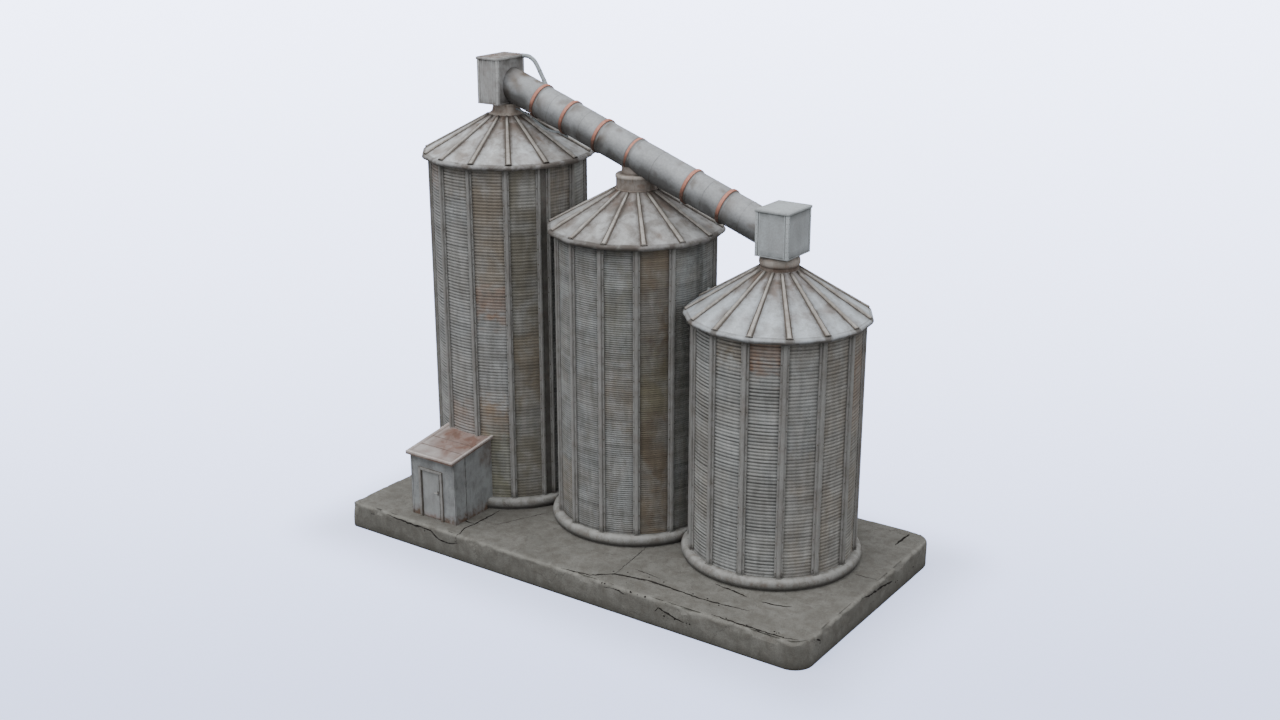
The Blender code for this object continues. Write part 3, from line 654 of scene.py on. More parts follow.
@dataclass(frozen=True)
class SteelFinish(Finish):
    """A weathered steel sheet."""

    name: str
    base: Tone
    shade: Tone
    rust: Tone = (128, 86, 62)
    # colour of grime, also used for painted shade
    grime: Tone = (62, 58, 53)
    blotch: float = 0.8
    streak: float = 3.0
    rust_amount: float = 0.1
    grime_amount: float = 0.85
    roughness: float = 0.6
    metallic: float = 0.25
    bump: float = 0.25
    shift: float = 0.0
    foot: tuple[float, float] | None = None   # height where rust starts from the foot, and its reach
    rusty: tuple[float, float, float, float] | None = None      # middle of a rust patch and its reach

    def effect(self, wiring: Wiring, **more: object) -> SimpleNamespace:
        """Places the steel effect with this finish's values.

        Args:
            wiring: The material's wiring.
            more: Inputs that differ.
        Returns:
            The effect's outputs.
        """
        values = dict(base=tone(*self.base), shade=tone(*self.shade), rust=tone(*self.rust),
                      grime=tone(*self.grime), blotch_size=self.blotch, streak_length=self.streak,
                      rust_amount=self.rust_amount, grime_amount=self.grime_amount,
                      roughness=self.roughness, shift=self.shift)
        values |= {f"{mark}_mask": wiring.attribute(mark) for mark in MARKS}
        return wiring.use(steel_group(), **(values | more))

    def creeping_rust(self, wiring: Wiring) -> Signal:
        """Returns the mask of the rust that creeps up from the foot and around the rusty spot.

        Args:
            wiring: The material's wiring.
        Returns:
            The mask.
        """
        ragged = wiring.use(patches_group(), size=0.35, start=0.3, end=0.7, shift=self.shift).mask
        place = wiring.here()
        low, reach = self.foot
        height = ragged * (reach * 0.8) + wiring.split(place)[2]
        mask = height.span(low + reach * 1.6, low + reach * 0.1)
        if self.rusty:
            *middle, reach = self.rusty
            far = ragged * (-0.5 * reach) + wiring.vector_math("DISTANCE", place, middle, output=1)
            mask = mask.math("MAXIMUM", far.span(reach, reach * 0.2, 0.0, 0.4))
        return (mask * 1.3).math("MAXIMUM", wiring.attribute("rust"))

    def dress(self, wiring: Wiring) -> None:
        """Wires the effect to the shader, with rust creeping up from the foot if there is any.

        Args:
            wiring: The material's wiring.
        """
        effect = self.effect(wiring, **({"rust_mask": self.creeping_rust(wiring)} if self.foot else {}))
        wiring.shader.inputs["Metallic"].default_value = self.metallic
        self.join(wiring, effect.color, effect)


@dataclass(frozen=True)
class ShellFinish(SteelFinish):
    """Curved corrugated sheets, whose bays and sheets differ in tint, in the painted shade of the waves'
    valleys and in stains, with shade also painted beside the posts.
    """

    rust_amount: float = 0.04
    silo: Silo = TALL
    joint: float = 1.04                       # height of one sheet
    relief: float = 0.66                      # how dark the painted shade in the waves' valleys is
    fade: float = 0.6                         # how softly a stained zone starts and ends
    line_pitch: float = 0.105                 # between the faint upright lines

    def stained(self, wiring: Wiring, colour: Signal, place: Signal, ragged: Signal,
                cloudy: Signal) -> Signal:
        """Lays the silo's zones over a colour: stains, and painted shade where the tint is DARK.

        Args:
            wiring: The material's wiring.
            colour: The colour under them.
            place: The bay's number at the point.
            ragged: The point's height with noise added.
            cloudy: How strong stains are at the point.
        Returns:
            The stained colour.
        """
        fade = self.fade
        for zone in self.silo.zones:
            inside = place.math("COMPARE", float(zone.bay), 0.5)
            rising = ragged.span(zone.low - fade, zone.low + fade, 0.0, zone.strength)
            band = rising * ragged.span(zone.high + fade, zone.high - fade) * cloudy
            colour = wiring.mix(inside * band, colour, tone(*zone.tint.value))
        return colour

    def contrast(self, wiring: Wiring, place: Signal, height: Signal, start: Signal) -> Signal:
        """Returns how strongly the waves show, as painted shade in their valleys.

        Args:
            wiring: The material's wiring.
            place: The bay's number at the point.
            height: The point's height.
            start: The contrast before faint bays and uneven waves.
        Returns:
            The contrast.
        """
        silo, found = self.silo, start
        for bay, share in silo.faint:
            found = found * (place.math("COMPARE", float(bay), 0.5) * (share - 1.0) + 1.0)
        wave = ((height - silo.wall_low) / silo.wave).math("FLOOR")
        return found * wiring.chance(place, wave, self.shift + 5.0).span(0.0, 1.0, 0.65, 1.15)

    def dress(self, wiring: Wiring) -> None:
        """Wires bays, sheets, stains, the painted shade in the valleys and the painted shade beside the
        posts.

        Args:
            wiring: The material's wiring.
        """
        silo, shift, patches = self.silo, self.shift, patches_group()
        bays = wiring.use(around_axis_group(), centre_x=silo.x, centre_y=ROW_Y, places=float(silo.posts),
                          phase=math.radians(silo.post_phase))
        place, height = bays.place, wiring.split(wiring.here())[2]
        own = wiring.make("ShaderNodeTexWhiteNoise", {"W": place + shift}, noise_dimensions="1D")
        count = height / self.joint + own
        clouds = wiring.use(patches, size=1.1, upright_stretch=1.2, start=0.34, end=0.68,
                            shift=shift + 31).mask
        soft = wiring.use(patches, size=0.45, upright_stretch=0.7, start=0.3, end=0.7, shift=shift + 47).mask
        effect = self.effect(wiring)
        colour = wiring.mix(clouds * 0.22, effect.color, tone(*BROWN.value))
        colour = self.stained(wiring, colour, place, (soft - 0.5) + height, clouds.span(0.0, 1.0, 0.55, 1.0))
        contrast = (soft * 0.3 + own.span(0.0, 1.0, 0.7, 0.9)).clamped()
        contrast = self.contrast(wiring, place, height, contrast)
        # Painted shade: the waves' valleys are darkened in the colour.
        valley = wiring.attribute("crest").span(0.1, 0.75, self.relief, 0.0)
        value = wiring.chance(place, count.math("FLOOR"), shift).span(0.0, 1.0, 0.9, 1.07)
        value = value * (1.12 - valley * contrast)
        lines = (bays.arc / self.line_pitch).math("FRACT")
        line = lines.span(0.7, 0.85) * lines.span(1.0, 0.85)
        value = value * (1.0 - line * contrast.span(0.3, 0.9, 0.2, 0.03))
        value = value * count.math("FRACT").span(0.0, 0.045, 0.72, 1.0)
        level = wiring.vector(place * 3.7, height * 4.0, shift)
        upright = wiring.vector(bays.arc * 7.0, height * 0.5, shift + 3.0)
        for vector, darkest in ((level, 0.84), (upright, 0.86)):
            cloud = wiring.make("ShaderNodeTexNoise", {
                "Vector": vector, "Scale": 1.0, "Detail": 3.0, "Roughness": 0.65})
            value = value * cloud.span(0.32, 0.68, darkest, 1.1)
        # Painted shade: the wall darkens next to each post.
        half = silo.post_width / 2
        value = value * bays.edge_distance.span(half, half + 0.13, 0.72, 1.0)
        wiring.shader.inputs["Metallic"].default_value = self.metallic
        self.join(wiring, wiring.tinted(colour, value), effect)


@dataclass(frozen=True)
class ConcreteFinish(Finish):
    """Cast concrete."""

    name: str
    base: Tone
    light: Tone
    dark: Tone
    stain: Tone = (104, 84, 68)
    blotch: float = 1.6
    stain_amount: float = 0.08
    bump: float = 0.5
    shift: float = 0.0

    def dress(self, wiring: Wiring) -> None:
        """Wires the concrete effect to the shader.

        Args:
            wiring: The material's wiring.
        """
        tones = {key: tone(*getattr(self, key)) for key in ("base", "light", "dark", "stain")}
        masks = {f"{mark}_mask": wiring.attribute(mark) for mark in MARKS}
        effect = wiring.use(concrete_group(), blotch_size=self.blotch, stain_amount=self.stain_amount,
                            shift=self.shift, **tones, **masks)
        wiring.shader.inputs["Specular IOR Level"].default_value = 0.25
        self.join(wiring, effect.color, effect)


SLAB_CONCRETE = ConcreteFinish("slab_concrete", (108, 107, 102), (121, 120, 115), (86, 85, 80), blotch=1.4)
CRACK_CONCRETE = ConcreteFinish("crack_concrete", (44, 43, 41), (52, 50, 48), (34, 33, 32), blotch=0.3)
PLINTH_CONCRETE = ConcreteFinish("plinth_concrete", (121, 121, 118), (140, 140, 138), (90, 89, 85),
                                 blotch=1.3, stain_amount=0.15, bump=0.15, shift=3.0)
SHELLS = {
    "tall": ShellFinish("tall_corrugated_sheet", (164, 166, 166), (143, 144, 143), shift=1.0, silo=TALL,
                        relief=0.64),
    "middle": ShellFinish("middle_corrugated_sheet", (148, 151, 151), (126, 127, 125), shift=4.0, silo=MIDDLE,
                          relief=0.5),
    "short": ShellFinish("short_corrugated_sheet", (165, 167, 166), (142, 144, 143), shift=8.0, silo=SHORT,
                         grime_amount=0.5, relief=0.72),
}
POST_STEEL = SteelFinish("post_steel", (150, 150, 148), (132, 130, 127), blotch=0.9, streak=5.0, shift=2.0)
# Painted shade: the dark strip between twin posts stands for the shade in the recess there.
GAP_SHADE = SteelFinish("dark_joint_cover", (106, 104, 100), (86, 84, 80), blotch=0.6, shift=5.0)
ROOFS = {
    "tall": SteelFinish("tall_roof_steel", (204, 208, 211), (166, 163, 159), blotch=0.8, streak=1.0,
                        rust=(128, 104, 88), grime=(76, 68, 61), rust_amount=0.22, shift=6.0),
    "middle": SteelFinish("middle_roof_steel", (184, 186, 187), (142, 139, 135), blotch=0.85, streak=1.0,
                          rust=(126, 104, 90), grime=(74, 67, 61), rust_amount=0.16, shift=7.0),
    "short": SteelFinish("short_roof_steel", (195, 203, 210), (173, 176, 178), blotch=1.0, streak=1.0,
                         rust=(136, 112, 96), grime=(80, 73, 66), rust_amount=0.08, shift=8.0),
}
# Painted shade: dark strips under the ribs stand for the shade at their edges.
RIB_SHADE_STRIP = SteelFinish("rib_seal", (88, 81, 74), (72, 66, 60), blotch=0.5, shift=10.0)
RIB_STEEL = SteelFinish("rib_steel", (173, 170, 165), (146, 139, 131), rust=(134, 112, 98), blotch=0.5,
                        grime=(66, 60, 55), grime_amount=1.0, rust_amount=0.15, shift=9.0)
PIPE_STEEL = SteelFinish("pipe_steel", (166, 169, 172), (158, 160, 162), rust=(124, 112, 101), blotch=1.6,
                         streak=1.2, rust_amount=0.0, grime=(66, 65, 63), grime_amount=0.8, bump=0.1,
                         shift=12.0)
BAND_COPPER = SteelFinish("band_copper", (200, 138, 119), (178, 118, 101), rust=(140, 96, 80), blotch=0.3,
                          grime=(74, 56, 48), grime_amount=0.9, rust_amount=0.2, metallic=0.1, shift=14.0)
SPOUT_STEEL = SteelFinish("spout_steel", (164, 158, 152), (142, 135, 128), rust=(142, 112, 94), blotch=0.4,
                          rust_amount=0.3, grime=(84, 78, 72), grime_amount=0.7, shift=16.0)
TALL_BOX_STEEL = SteelFinish("tall_box_steel", (184, 187, 188), (164, 165, 165), blotch=0.5, rust_amount=0.04,
                             grime_amount=0.7, shift=18.0)
SHORT_BOX_STEEL = SteelFinish("short_box_steel", (187, 195, 199), (176, 183, 187), blotch=1.3,
                              rust_amount=0.02, grime=(96, 98, 97), shift=20.0)
CONDUIT_STEEL = SteelFinish("conduit_steel", (164, 172, 176), (146, 152, 155), blotch=2.0, streak=1.0,
                            rust_amount=0.0, bump=0.05, shift=22.0)
SHED_PANEL = SteelFinish("shed_panel", (150, 153, 155), (124, 126, 127), blotch=0.6, metallic=0.05,
                         rust=(110, 91, 78), shift=24.0, foot=(1.1, 0.42), rusty=(-5.6, -2.55, 3.6, 0.62))
SHED_ROOF = SteelFinish("shed_roof_sheet", (170, 165, 163), (158, 148, 144), rust=(126, 98, 87), blotch=1.3,
                        metallic=0.1, grime=(92, 72, 62), shift=26.0)
DOOR_PAINT = SteelFinish("door_paint", (156, 158, 159), (142, 144, 144), blotch=0.6, rust_amount=0.05,
                         metallic=0.05, rust=(120, 78, 56), shift=28.0, foot=(1.1, 0.2))
FRAME_PAINT = SteelFinish("frame_paint", (146, 146, 145), (128, 127, 125), blotch=0.4, rust_amount=0.06,
                          metallic=0.05, rust=(106, 86, 74), shift=30.0, foot=(1.1, 0.36))
JAMB_SHADE = SteelFinish("jamb_shade", (112, 108, 102), (96, 90, 84), blotch=0.4, rust_amount=0.3,
                         metallic=0.05, rust=(96, 72, 58), shift=31.0)
HANDLE_STEEL = SteelFinish("handle_steel", (190, 190, 186), (160, 158, 154), blotch=0.1, metallic=0.3,
                           roughness=0.45, shift=32.0)
BOLT_STEEL = SteelFinish("bolt_steel", (128, 124, 118), (92, 86, 80), rust=(112, 76, 56), blotch=0.2,
                         rust_amount=0.4, metallic=0.5, shift=34.0)


# Mesh tools


def whole_turn(count: int) -> list[float]:
    """Returns evenly spaced angles around a circle."""
    return [2 * math.pi * index / count for index in range(count)]


def outwards(turn: float) -> tuple[Vector, Vector]:
    """Returns the level direction at an angle from +X, and the one across it."""
    return Vector((math.cos(turn), math.sin(turn), 0.0)), Vector((-math.sin(turn), math.cos(turn), 0.0))


def arc(centre: Point, radius: float, first: float, last: float, steps: int) -> list[tuple[float, float]]:
    """Returns points on an arc in a plane.

    Args:
        centre: The arc's centre.
        radius: Its radius.
        first: First angle in degrees.
        last: Last angle in degrees.
        steps: How many chords it has.
    Returns:
        The points.
    """
    turns = [math.radians(first + (last - first) * step / steps) for step in range(steps + 1)]
    return [(centre[0] + radius * math.cos(turn), centre[1] + radius * math.sin(turn)) for turn in turns]


def smooth_step(value: float, start: float, end: float) -> float:
    """Returns a smooth step from 0 at start to 1 at end."""
    share = min(1.0, max(0.0, (value - start) / (end - start)))
    return share * share * (3 - 2 * share)


def wander(point: Point, size: float, shift: float = 0.0) -> float:
    """Returns smooth noise from -1 to 1 at a point, in lumps of a size."""
    return noise.noise(Vector(point) / size + Vector((shift, shift, shift)))


@dataclass
class Skin:
    """Collects the points and faces of a piece, with the weather at each point."""

    points: list[Vector] = field(default_factory=list)
    faces: list[tuple[int, ...]] = field(default_factory=list)
    weather: list[Weather] = field(default_factory=list)

    def ring(self, points: Iterable[Point], weather: Aging = CLEAN) -> list[int]:
        """Adds points and returns their numbers.

        Args:
            points: The points.
            weather: Their weather, a list of it, or what gives it from a point.
        Returns:
            The numbers of the new points.
        """
        start = len(self.points)
        self.points += [Vector(point) for point in points]
        added = self.points[start:]
        if callable(weather):
            self.weather += [weather(point) for point in added]
        else:
            self.weather += weather if isinstance(weather, list) else [weather] * len(added)
        return list(range(start, len(self.points)))

    def bridge(self, rings: Sequence[list[int]], loop: bool = False, caps: bool = True) -> None:
        """Joins rings of the same length.

        Args:
            rings: The rings in order.
            loop: Whether the last joins the first again.
            caps: Whether the ends are closed, if they don't join.
        """
        pairs = list(zip(rings, rings[1:])) + ([(rings[-1], rings[0])] if loop else [])
        for below, above in pairs:
            for index, number in enumerate(below):
                after = (index + 1) % len(below)
                self.faces.append((number, below[after], above[after], above[index]))
        if caps and not loop:
            self.faces += [tuple(rings[0][::-1]), tuple(rings[-1])]

    def take(self, shape: bmesh.types.BMesh, move: Callable[[Vector], Vector],
             weather: Aging = CLEAN) -> None:
        """Adds a mesh and frees it.

        Args:
            shape: The mesh.
            move: What gives each point's place.
            weather: Its weather.
        """
        shape.verts.index_update()
        numbers = self.ring([move(vert.co) for vert in shape.verts], weather)
        self.faces += [tuple(numbers[vert.index] for vert in face.verts) for face in shape.faces]
        shape.free()

    def box(self, low: Point, high: Point, edge: float, weather: Aging = CLEAN, turn: Matrix | None = None,
            cuts: int = 0) -> None:
        """Adds a box with rounded edges.

        Args:
            low: Lowest corner.
            high: Highest corner.
            edge: Radius of its edges.
            weather: Its weather.
            turn: Matrix that places it.
            cuts: How often its faces are cut, so that weather can change along them.
        """
        shape = bmesh.new()
        bmesh.ops.create_cube(shape, size=1.0)
        bmesh.ops.scale(shape, vec=[high[axis] - low[axis] for axis in range(3)], verts=shape.verts)
        bmesh.ops.translate(shape, vec=[(high[axis] + low[axis]) / 2 for axis in range(3)], verts=shape.verts)
        if cuts:
            bmesh.ops.subdivide_edges(shape, edges=shape.edges, cuts=cuts, use_grid_fill=True)
        corners = [thing for thing in shape.edges if thing.calc_face_angle(0) > 0.5]
        bmesh.ops.bevel(shape, geom=corners, offset=edge, segments=2, profile=0.6, affect="EDGES")
        self.take(shape, lambda point: turn @ point if turn else point.copy(), weather)

    def tube(self, path: Sequence[Vector], radius: float, weather: Aging = CLEAN, sides: int = 24) -> None:
        """Adds a round bar along a path.

        Args:
            path: Its centre line.
            radius: Its radius.
            weather: Its weather.
            sides: How many sides it has.
        """
        rings = []
        for index, point in enumerate(path):
            heading = path[min(index + 1, len(path) - 1)] - path[max(index - 1, 0)]
            across = heading.cross(Vector((0, 1, 0))).normalized()
            other = across.cross(heading.normalized())
            rings.append(self.ring([point + radius * (across * math.cos(turn) + other * math.sin(turn))
                                    for turn in whole_turn(sides)], weather))
        self.bridge(rings)

    def make(self, name: str, *finishes: Finish, sharp: float = 35.0) -> Thing:
        """Turns the skin into an object whose faces point outwards.

        Args:
            name: The piece's name.
            finishes: Its finishes.
            sharp: Edges over this angle in degrees stay sharp.
        Returns:
            The object.
        """
        mesh = bpy.data.meshes.new(name)
        mesh.from_pydata(self.points, [], self.faces)
        for mark in MARKS:
            mesh.attributes.new(mark, "FLOAT", "POINT")
        for finish in finishes:
            mesh.materials.append(finish.material())
        thing = show(name, mesh)
        paint(thing, self.weather)
        face_outwards(thing, sharp)
        return thing


def show(name: str, data: bpy.types.ID) -> Thing:
    """Links a new object to the scene.

    Args:
        name: The object's name.
        data: Its mesh, light or camera.
    Returns:
        The object.
    """
    thing = bpy.data.objects.new(name, data)
    bpy.context.scene.collection.objects.link(thing)
    return thing


def face_outwards(thing: Thing, sharp: float = 35.0) -> None:
    """Turns a mesh's faces outwards and shades it smooth up to an angle.

    Args:
        thing: The mesh object.
        sharp: Edges over this angle in degrees stay sharp.
    """
    shape = bmesh.new()
    shape.from_mesh(thing.data)
    bmesh.ops.recalc_face_normals(shape, faces=shape.faces)
    shape.to_mesh(thing.data)
    shape.free()
    thing.data.shade_smooth()
    thing.data.set_sharp_from_angle(angle=math.radians(sharp))


def paint(thing: Thing, weather: list[Weather]) -> None:
    """Sets the weather at each point of a piece."""
    for mark, values in zip(MARKS, zip(*weather)):
        thing.data.attributes[mark].data.foreach_set("value", values)


def settle(thing: Thing, sharp: float = 35.0) -> Thing:
    """Replaces an object by a plain mesh of what its modifiers make.

    Args:
        thing: The object with modifiers.
        sharp: Edges over this angle in degrees stay sharp.
    Returns:
        The plain object, with the same name.
    """
    graph = bpy.context.evaluated_depsgraph_get()
    mesh = bpy.data.meshes.new_from_object(thing.evaluated_get(graph), preserve_all_data_layers=True,
                                           depsgraph=graph)
    name = thing.name
    bpy.data.objects.remove(thing, do_unlink=True)
    mesh.name = name
    plain = show(name, mesh)
    face_outwards(plain, sharp)
    return plain


def cut(thing: Thing, cutter: Thing, sharp: float = 35.0) -> Thing:
    """Cuts a shape out of a piece and removes the shape.

    Args:
        thing: The piece.
        cutter: What is cut out.
        sharp: Edges over this angle in degrees stay sharp.
    Returns:
        The cut piece.
    """
    modifier = thing.modifiers.new("Cut", "BOOLEAN")
    modifier.operation = "DIFFERENCE"
    modifier.solver = "EXACT"
    modifier.use_self = True
    modifier.material_mode = "TRANSFER"
    modifier.object = cutter
    plain = settle(thing, sharp)
    bpy.data.objects.remove(cutter, do_unlink=True)
    return plain


# Geometry trees


@functools.cache
def shell_tree() -> Tree:
    """Builds the tree that rolls a corrugated wall with a plain inner face about an axis.

    Returns:
        The tree. Its grid's rows run up the outer face, then over the top and down the inner face.
    """
    wiring, given = new_group("corrugated_shell", GEOMETRY, dict(
        geometry="Geometry", centre="Vector", radius="Float", low="Float", high="Float", pitch=0.15,
        depth=0.03, thickness=0.06, columns=96, samples=6, material="Material"), geometry="Geometry")
    height = given.high - given.low
    waves = (height / given.pitch).math("ROUND")
    rows = waves * given.samples + 1.0
    columns = given.columns + 1.0
    grid = wiring.make("GeometryNodeMeshGrid", {"Vertices X": rows + 3.0, "Vertices Y": columns})
    index = wiring.make("GeometryNodeInputIndex")
    row = ((index + 0.5) / columns).math("FLOOR")
    column = index - row * columns
    last = rows - 1.0
    inner, inner_low, back = [row.math("GREATER_THAN", last + past) for past in (0.5, 1.5, 2.5)]
    share = (row / last).math("MINIMUM", 1.0) * (1.0 - inner_low)
    z = share * height + given.low
    crest = (share * waves * (2 * math.pi)).math("SINE") * 0.5 + 0.5
    valley = (1.0 - crest) * given.depth
    is_inside = inner - back
    radius = given.radius - valley - is_inside * (given.thickness - valley)
    turn = column / given.columns * (2 * math.pi)
    x, y, _ = wiring.split(given.centre)
    place = wiring.vector(radius * turn.math("COSINE") + x, radius * turn.math("SINE") + y, z)
    # Painted shade: the wall darkens under the eave and at its foot.
    near_top = (given.high - z).span(0.5, 0.05, 0.0, 0.6)
    near_foot = (z - given.low).span(0.25, 0.0, 0.0, 0.6)
    geometry = wiring.store(grid, "crest", crest.math("MAXIMUM", is_inside))
    geometry = wiring.store(geometry, "grime", near_top.math("MAXIMUM", near_foot))
    geometry = wiring.make("GeometryNodeSetPosition", {"Geometry": geometry, "Position": place})
    geometry = wiring.make("GeometryNodeMergeByDistance", {"Geometry": geometry, "Distance": 0.0004})
    return wiring.finish_geometry(geometry, given.material)


@functools.cache
def bars_tree() -> Tree:
    """Builds the tree that stands a rounded, narrowing bar with a foot plate on each point.

    Returns:
        The tree. It reads each bar's angle from "turn" and its share of the full width from "widen".
    """
    wiring, given = new_group("bars_on_points", GEOMETRY, dict(
        geometry="Geometry", length=1.0, root_width=0.2, face_width=0.15, height=0.1, rounding=0.02,
        lean=0.0, taper=0.0, foot=0.05, foot_margin=0.02, material="Material"), geometry="Geometry")
    half = given.height * 0.5
    outline = wiring.make("GeometryNodeCurvePrimitiveQuadrilateral", {
        "Height": given.height, "Bottom Width": given.root_width, "Top Width": given.face_width,
        "Offset": 0.0}, mode="TRAPEZOID")
    rounded = wiring.make("GeometryNodeFilletCurve", {
        "Curve": outline, "Count": 3, "Radius": given.rounding, "Limit Radius": True}, mode="POLY")
    profile = wiring.make("GeometryNodeTransform", {
        "Geometry": rounded, "Translation": wiring.vector(half), "Rotation": (0.0, 0.0, -math.pi / 2)})
    line = wiring.make("GeometryNodeCurvePrimitiveLine", {"End": wiring.vector(z=given.length)})
    spaced = wiring.make("GeometryNodeResampleCurve", {"Curve": line, "Count": 40})
    bar = wiring.make("GeometryNodeCurveToMesh", {
        "Curve": spaced, "Profile Curve": profile, "Fill Caps": True})
    margin = given.foot_margin
    foot = wiring.make("GeometryNodeMeshCube", {
        "Size": wiring.vector(given.height + margin, given.root_width + margin * 2.0, given.foot)})
    foot = wiring.make("GeometryNodeTransform", {
        "Geometry": foot, "Translation": wiring.vector(half, 0.0, given.foot * 0.5)})
    x, y, z = wiring.split(wiring.make("GeometryNodeInputPosition"))
    # Painted shade: the bar darkens at its root against the surface, at its foot and towards its far end.
    grime = x.span(given.height * 0.6, 0.0).math("MAXIMUM", z.span(given.foot * 1.6, 0.0))
    grime = grime.math("MAXIMUM", (given.length - z).span(0.3, 0.0, 0.0, 0.8))
    marked = wiring.store(wiring.join(bar, foot), "grime", grime)
    slim = wiring.vector(x, y * (1.0 - z / given.length * given.taper), z)
    marked = wiring.make("GeometryNodeSetPosition", {"Geometry": marked, "Position": slim})
    rotation = wiring.make("FunctionNodeEulerToRotation", {
        0: wiring.vector(0.0, given.lean, wiring.named("turn"))})
    stood = wiring.make("GeometryNodeInstanceOnPoints", {
        "Points": given.geometry, "Instance": marked, "Rotation": rotation,
        "Scale": wiring.vector(1.0, wiring.named("widen"), 1.0)})
    return wiring.finish_geometry(stood, given.material)


@functools.cache
def bolts_tree() -> Tree:
    """Builds the tree that puts a hexagon head with its washer on each point.

    Returns:
        The tree. It reads each bolt's direction from "aim".
    """
    wiring, given = new_group("bolts_on_points", GEOMETRY, dict(
        geometry="Geometry", radius=0.02, height=0.015, material="Material"), geometry="Geometry")
    washer, head = [wiring.make("GeometryNodeMeshCylinder", {
        "Vertices": sides, "Radius": given.radius * wide, "Depth": given.height * tall})
        for sides, wide, tall in ((10, 1.5, 0.5), (6, 1.0, 2.0))]
    rotation = wiring.make("FunctionNodeAlignRotationToVector", {
        "Vector": wiring.named("aim", "FLOAT_VECTOR")}, axis="Z")
    stood = wiring.make("GeometryNodeInstanceOnPoints", {
        "Points": given.geometry, "Instance": wiring.join(washer, head), "Rotation": rotation})
    return wiring.finish_geometry(stood, given.material)


def grow(name: str, tree: Tree, finish: Finish, points: Sequence[Point] = (),
         marks: dict[str, Sequence] | None = None, sharp: float = 35.0, **values: object) -> Thing:
    """Runs a geometry tree and returns what it makes as a plain mesh.

    Args:
        name: The piece's name.
        tree: The tree.
        finish: The finish of the piece.
        points: Points that the tree starts from.
        marks: Values at those points, each a list of numbers or vectors by its name.
        sharp: Edges over this angle in degrees stay sharp.
        values: The tree's inputs, by the names that new_group() was given.
    Returns:
        The piece.
    """
    mesh = bpy.data.meshes.new(name)
    mesh.from_pydata([Vector(point) for point in points], [], [])
    for mark, found in (marks or {}).items():
        is_vector = isinstance(found[0], Vector)
        kept = mesh.attributes.new(mark, "FLOAT_VECTOR" if is_vector else "FLOAT", "POINT")
        for item, value in zip(kept.data, found):
            setattr(item, "vector" if is_vector else "value", value)
    carrier = show(name, mesh)
    modifier = carrier.modifiers.new("Grow", "NODES")
    modifier.node_group = tree
    given = {label(key): value for key, value in values.items()} | {"Material": finish.material()}
    for item in tree.interface.items_tree:
        if item.in_out == "INPUT" and item.name in given:
            modifier[item.identifier] = given[item.name]
    return settle(carrier, sharp)


class Workshop:
    """Fixes finished pieces to the frame and keeps count of them."""

    def __init__(self, frame: dict) -> None:
        self.frame = frame
        self.pieces: list[Thing] = []

    def deliver(self, piece: Thing, slot: Slot, *nodes: str, body: Body = Body.PLANT) -> None:
        """Makes a piece ride on its body and stand for CAD nodes.

        Args:
            piece: The finished piece.
            slot: The record's slot; not used.
            nodes: CAD nodes that it replaces.
            body: The body that it rides on.
        """
        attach(piece, body.value)
        if nodes:
            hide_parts(*nodes)
        self.pieces.append(piece)
        log.info("%s: %d faces", piece.name, len(piece.data.polygons))

    def coat(self, finish: Finish, *nodes: str) -> None:
        """Gives CAD nodes that stay a finish.

        Args:
            finish: The finish.
            nodes: The nodes' names.
        """
        for name in nodes:
            mesh = self.frame["nodes"][name].data
            mesh.materials.clear()
            mesh.materials.append(finish.material())
            log.info("%s keeps its solid, in %s", name, finish.name)


# The assemblies


@dataclass
class Assembly:
    """A sub-assembly, which hands its finished pieces to the workshop."""

    shop: Workshop


@dataclass(frozen=True)
class Crack:
    """One crack in the slab, as plan points on its top or as points on one of its faces."""

    face: Face
    points: tuple[tuple[float, float], ...]
    width: float = 0.075
    depth: float = 0.12
    step: float = 0.11
    stray: float = 0.055
    proud: float = 0.05

    def spot(self, across: float, along: float, deep: float) -> Vector:
        """Returns a point of the crack.

        Args:
            across: First coordinate on its face.
            along: Second coordinate on its face.
            deep: How far under the face.
        Returns:
            The point in the row frame.
        """
        if self.face is Face.TOP:
            return Vector((across, along, SLAB_TOP - deep))
        if self.face is Face.FRONT:
            return Vector((across, deep - SLAB_WIDTH / 2, along))
        return Vector((SLAB_LENGTH / 2 - deep, across, along))

    def wedge(self, skin: Skin) -> None:
        """Adds the wedge that is cut out of the slab.

        Args:
            skin: The skin that collects all wedges.
        """
        line = [Vector(self.points[0])]
        for start, end in zip(self.points, self.points[1:]):
            first, last = Vector(start), Vector(end)
            steps = max(2, round((last - first).length / self.step))
            line += [first.lerp(last, step / steps) for step in range(1, steps + 1)]
        rings = []
        for index, point in enumerate(line):
            before, after = line[max(index - 1, 0)], line[min(index + 1, len(line) - 1)]
            side = (after - before).orthogonal().normalized()
            is_end = index in (0, len(line) - 1)
            centre = point + side * (0.0 if is_end else self.stray * wander((*point, 0.0), 0.17, 3.0))
            share = math.sin(math.pi * (index + 0.4) / (len(line) - 0.2)) ** 0.5
            half = self.width / 2 * share * (1 + 0.9 * wander((*point, 1.0), 0.2))
            left, right = centre + side * half, centre - side * half
            rings.append(skin.ring([
                self.spot(*left, 0.0), self.spot(*left, -self.proud), self.spot(*right, -self.proud),
                self.spot(*right, 0.0), self.spot(*centre, self.depth * share)]))
        skin.bridge(rings)


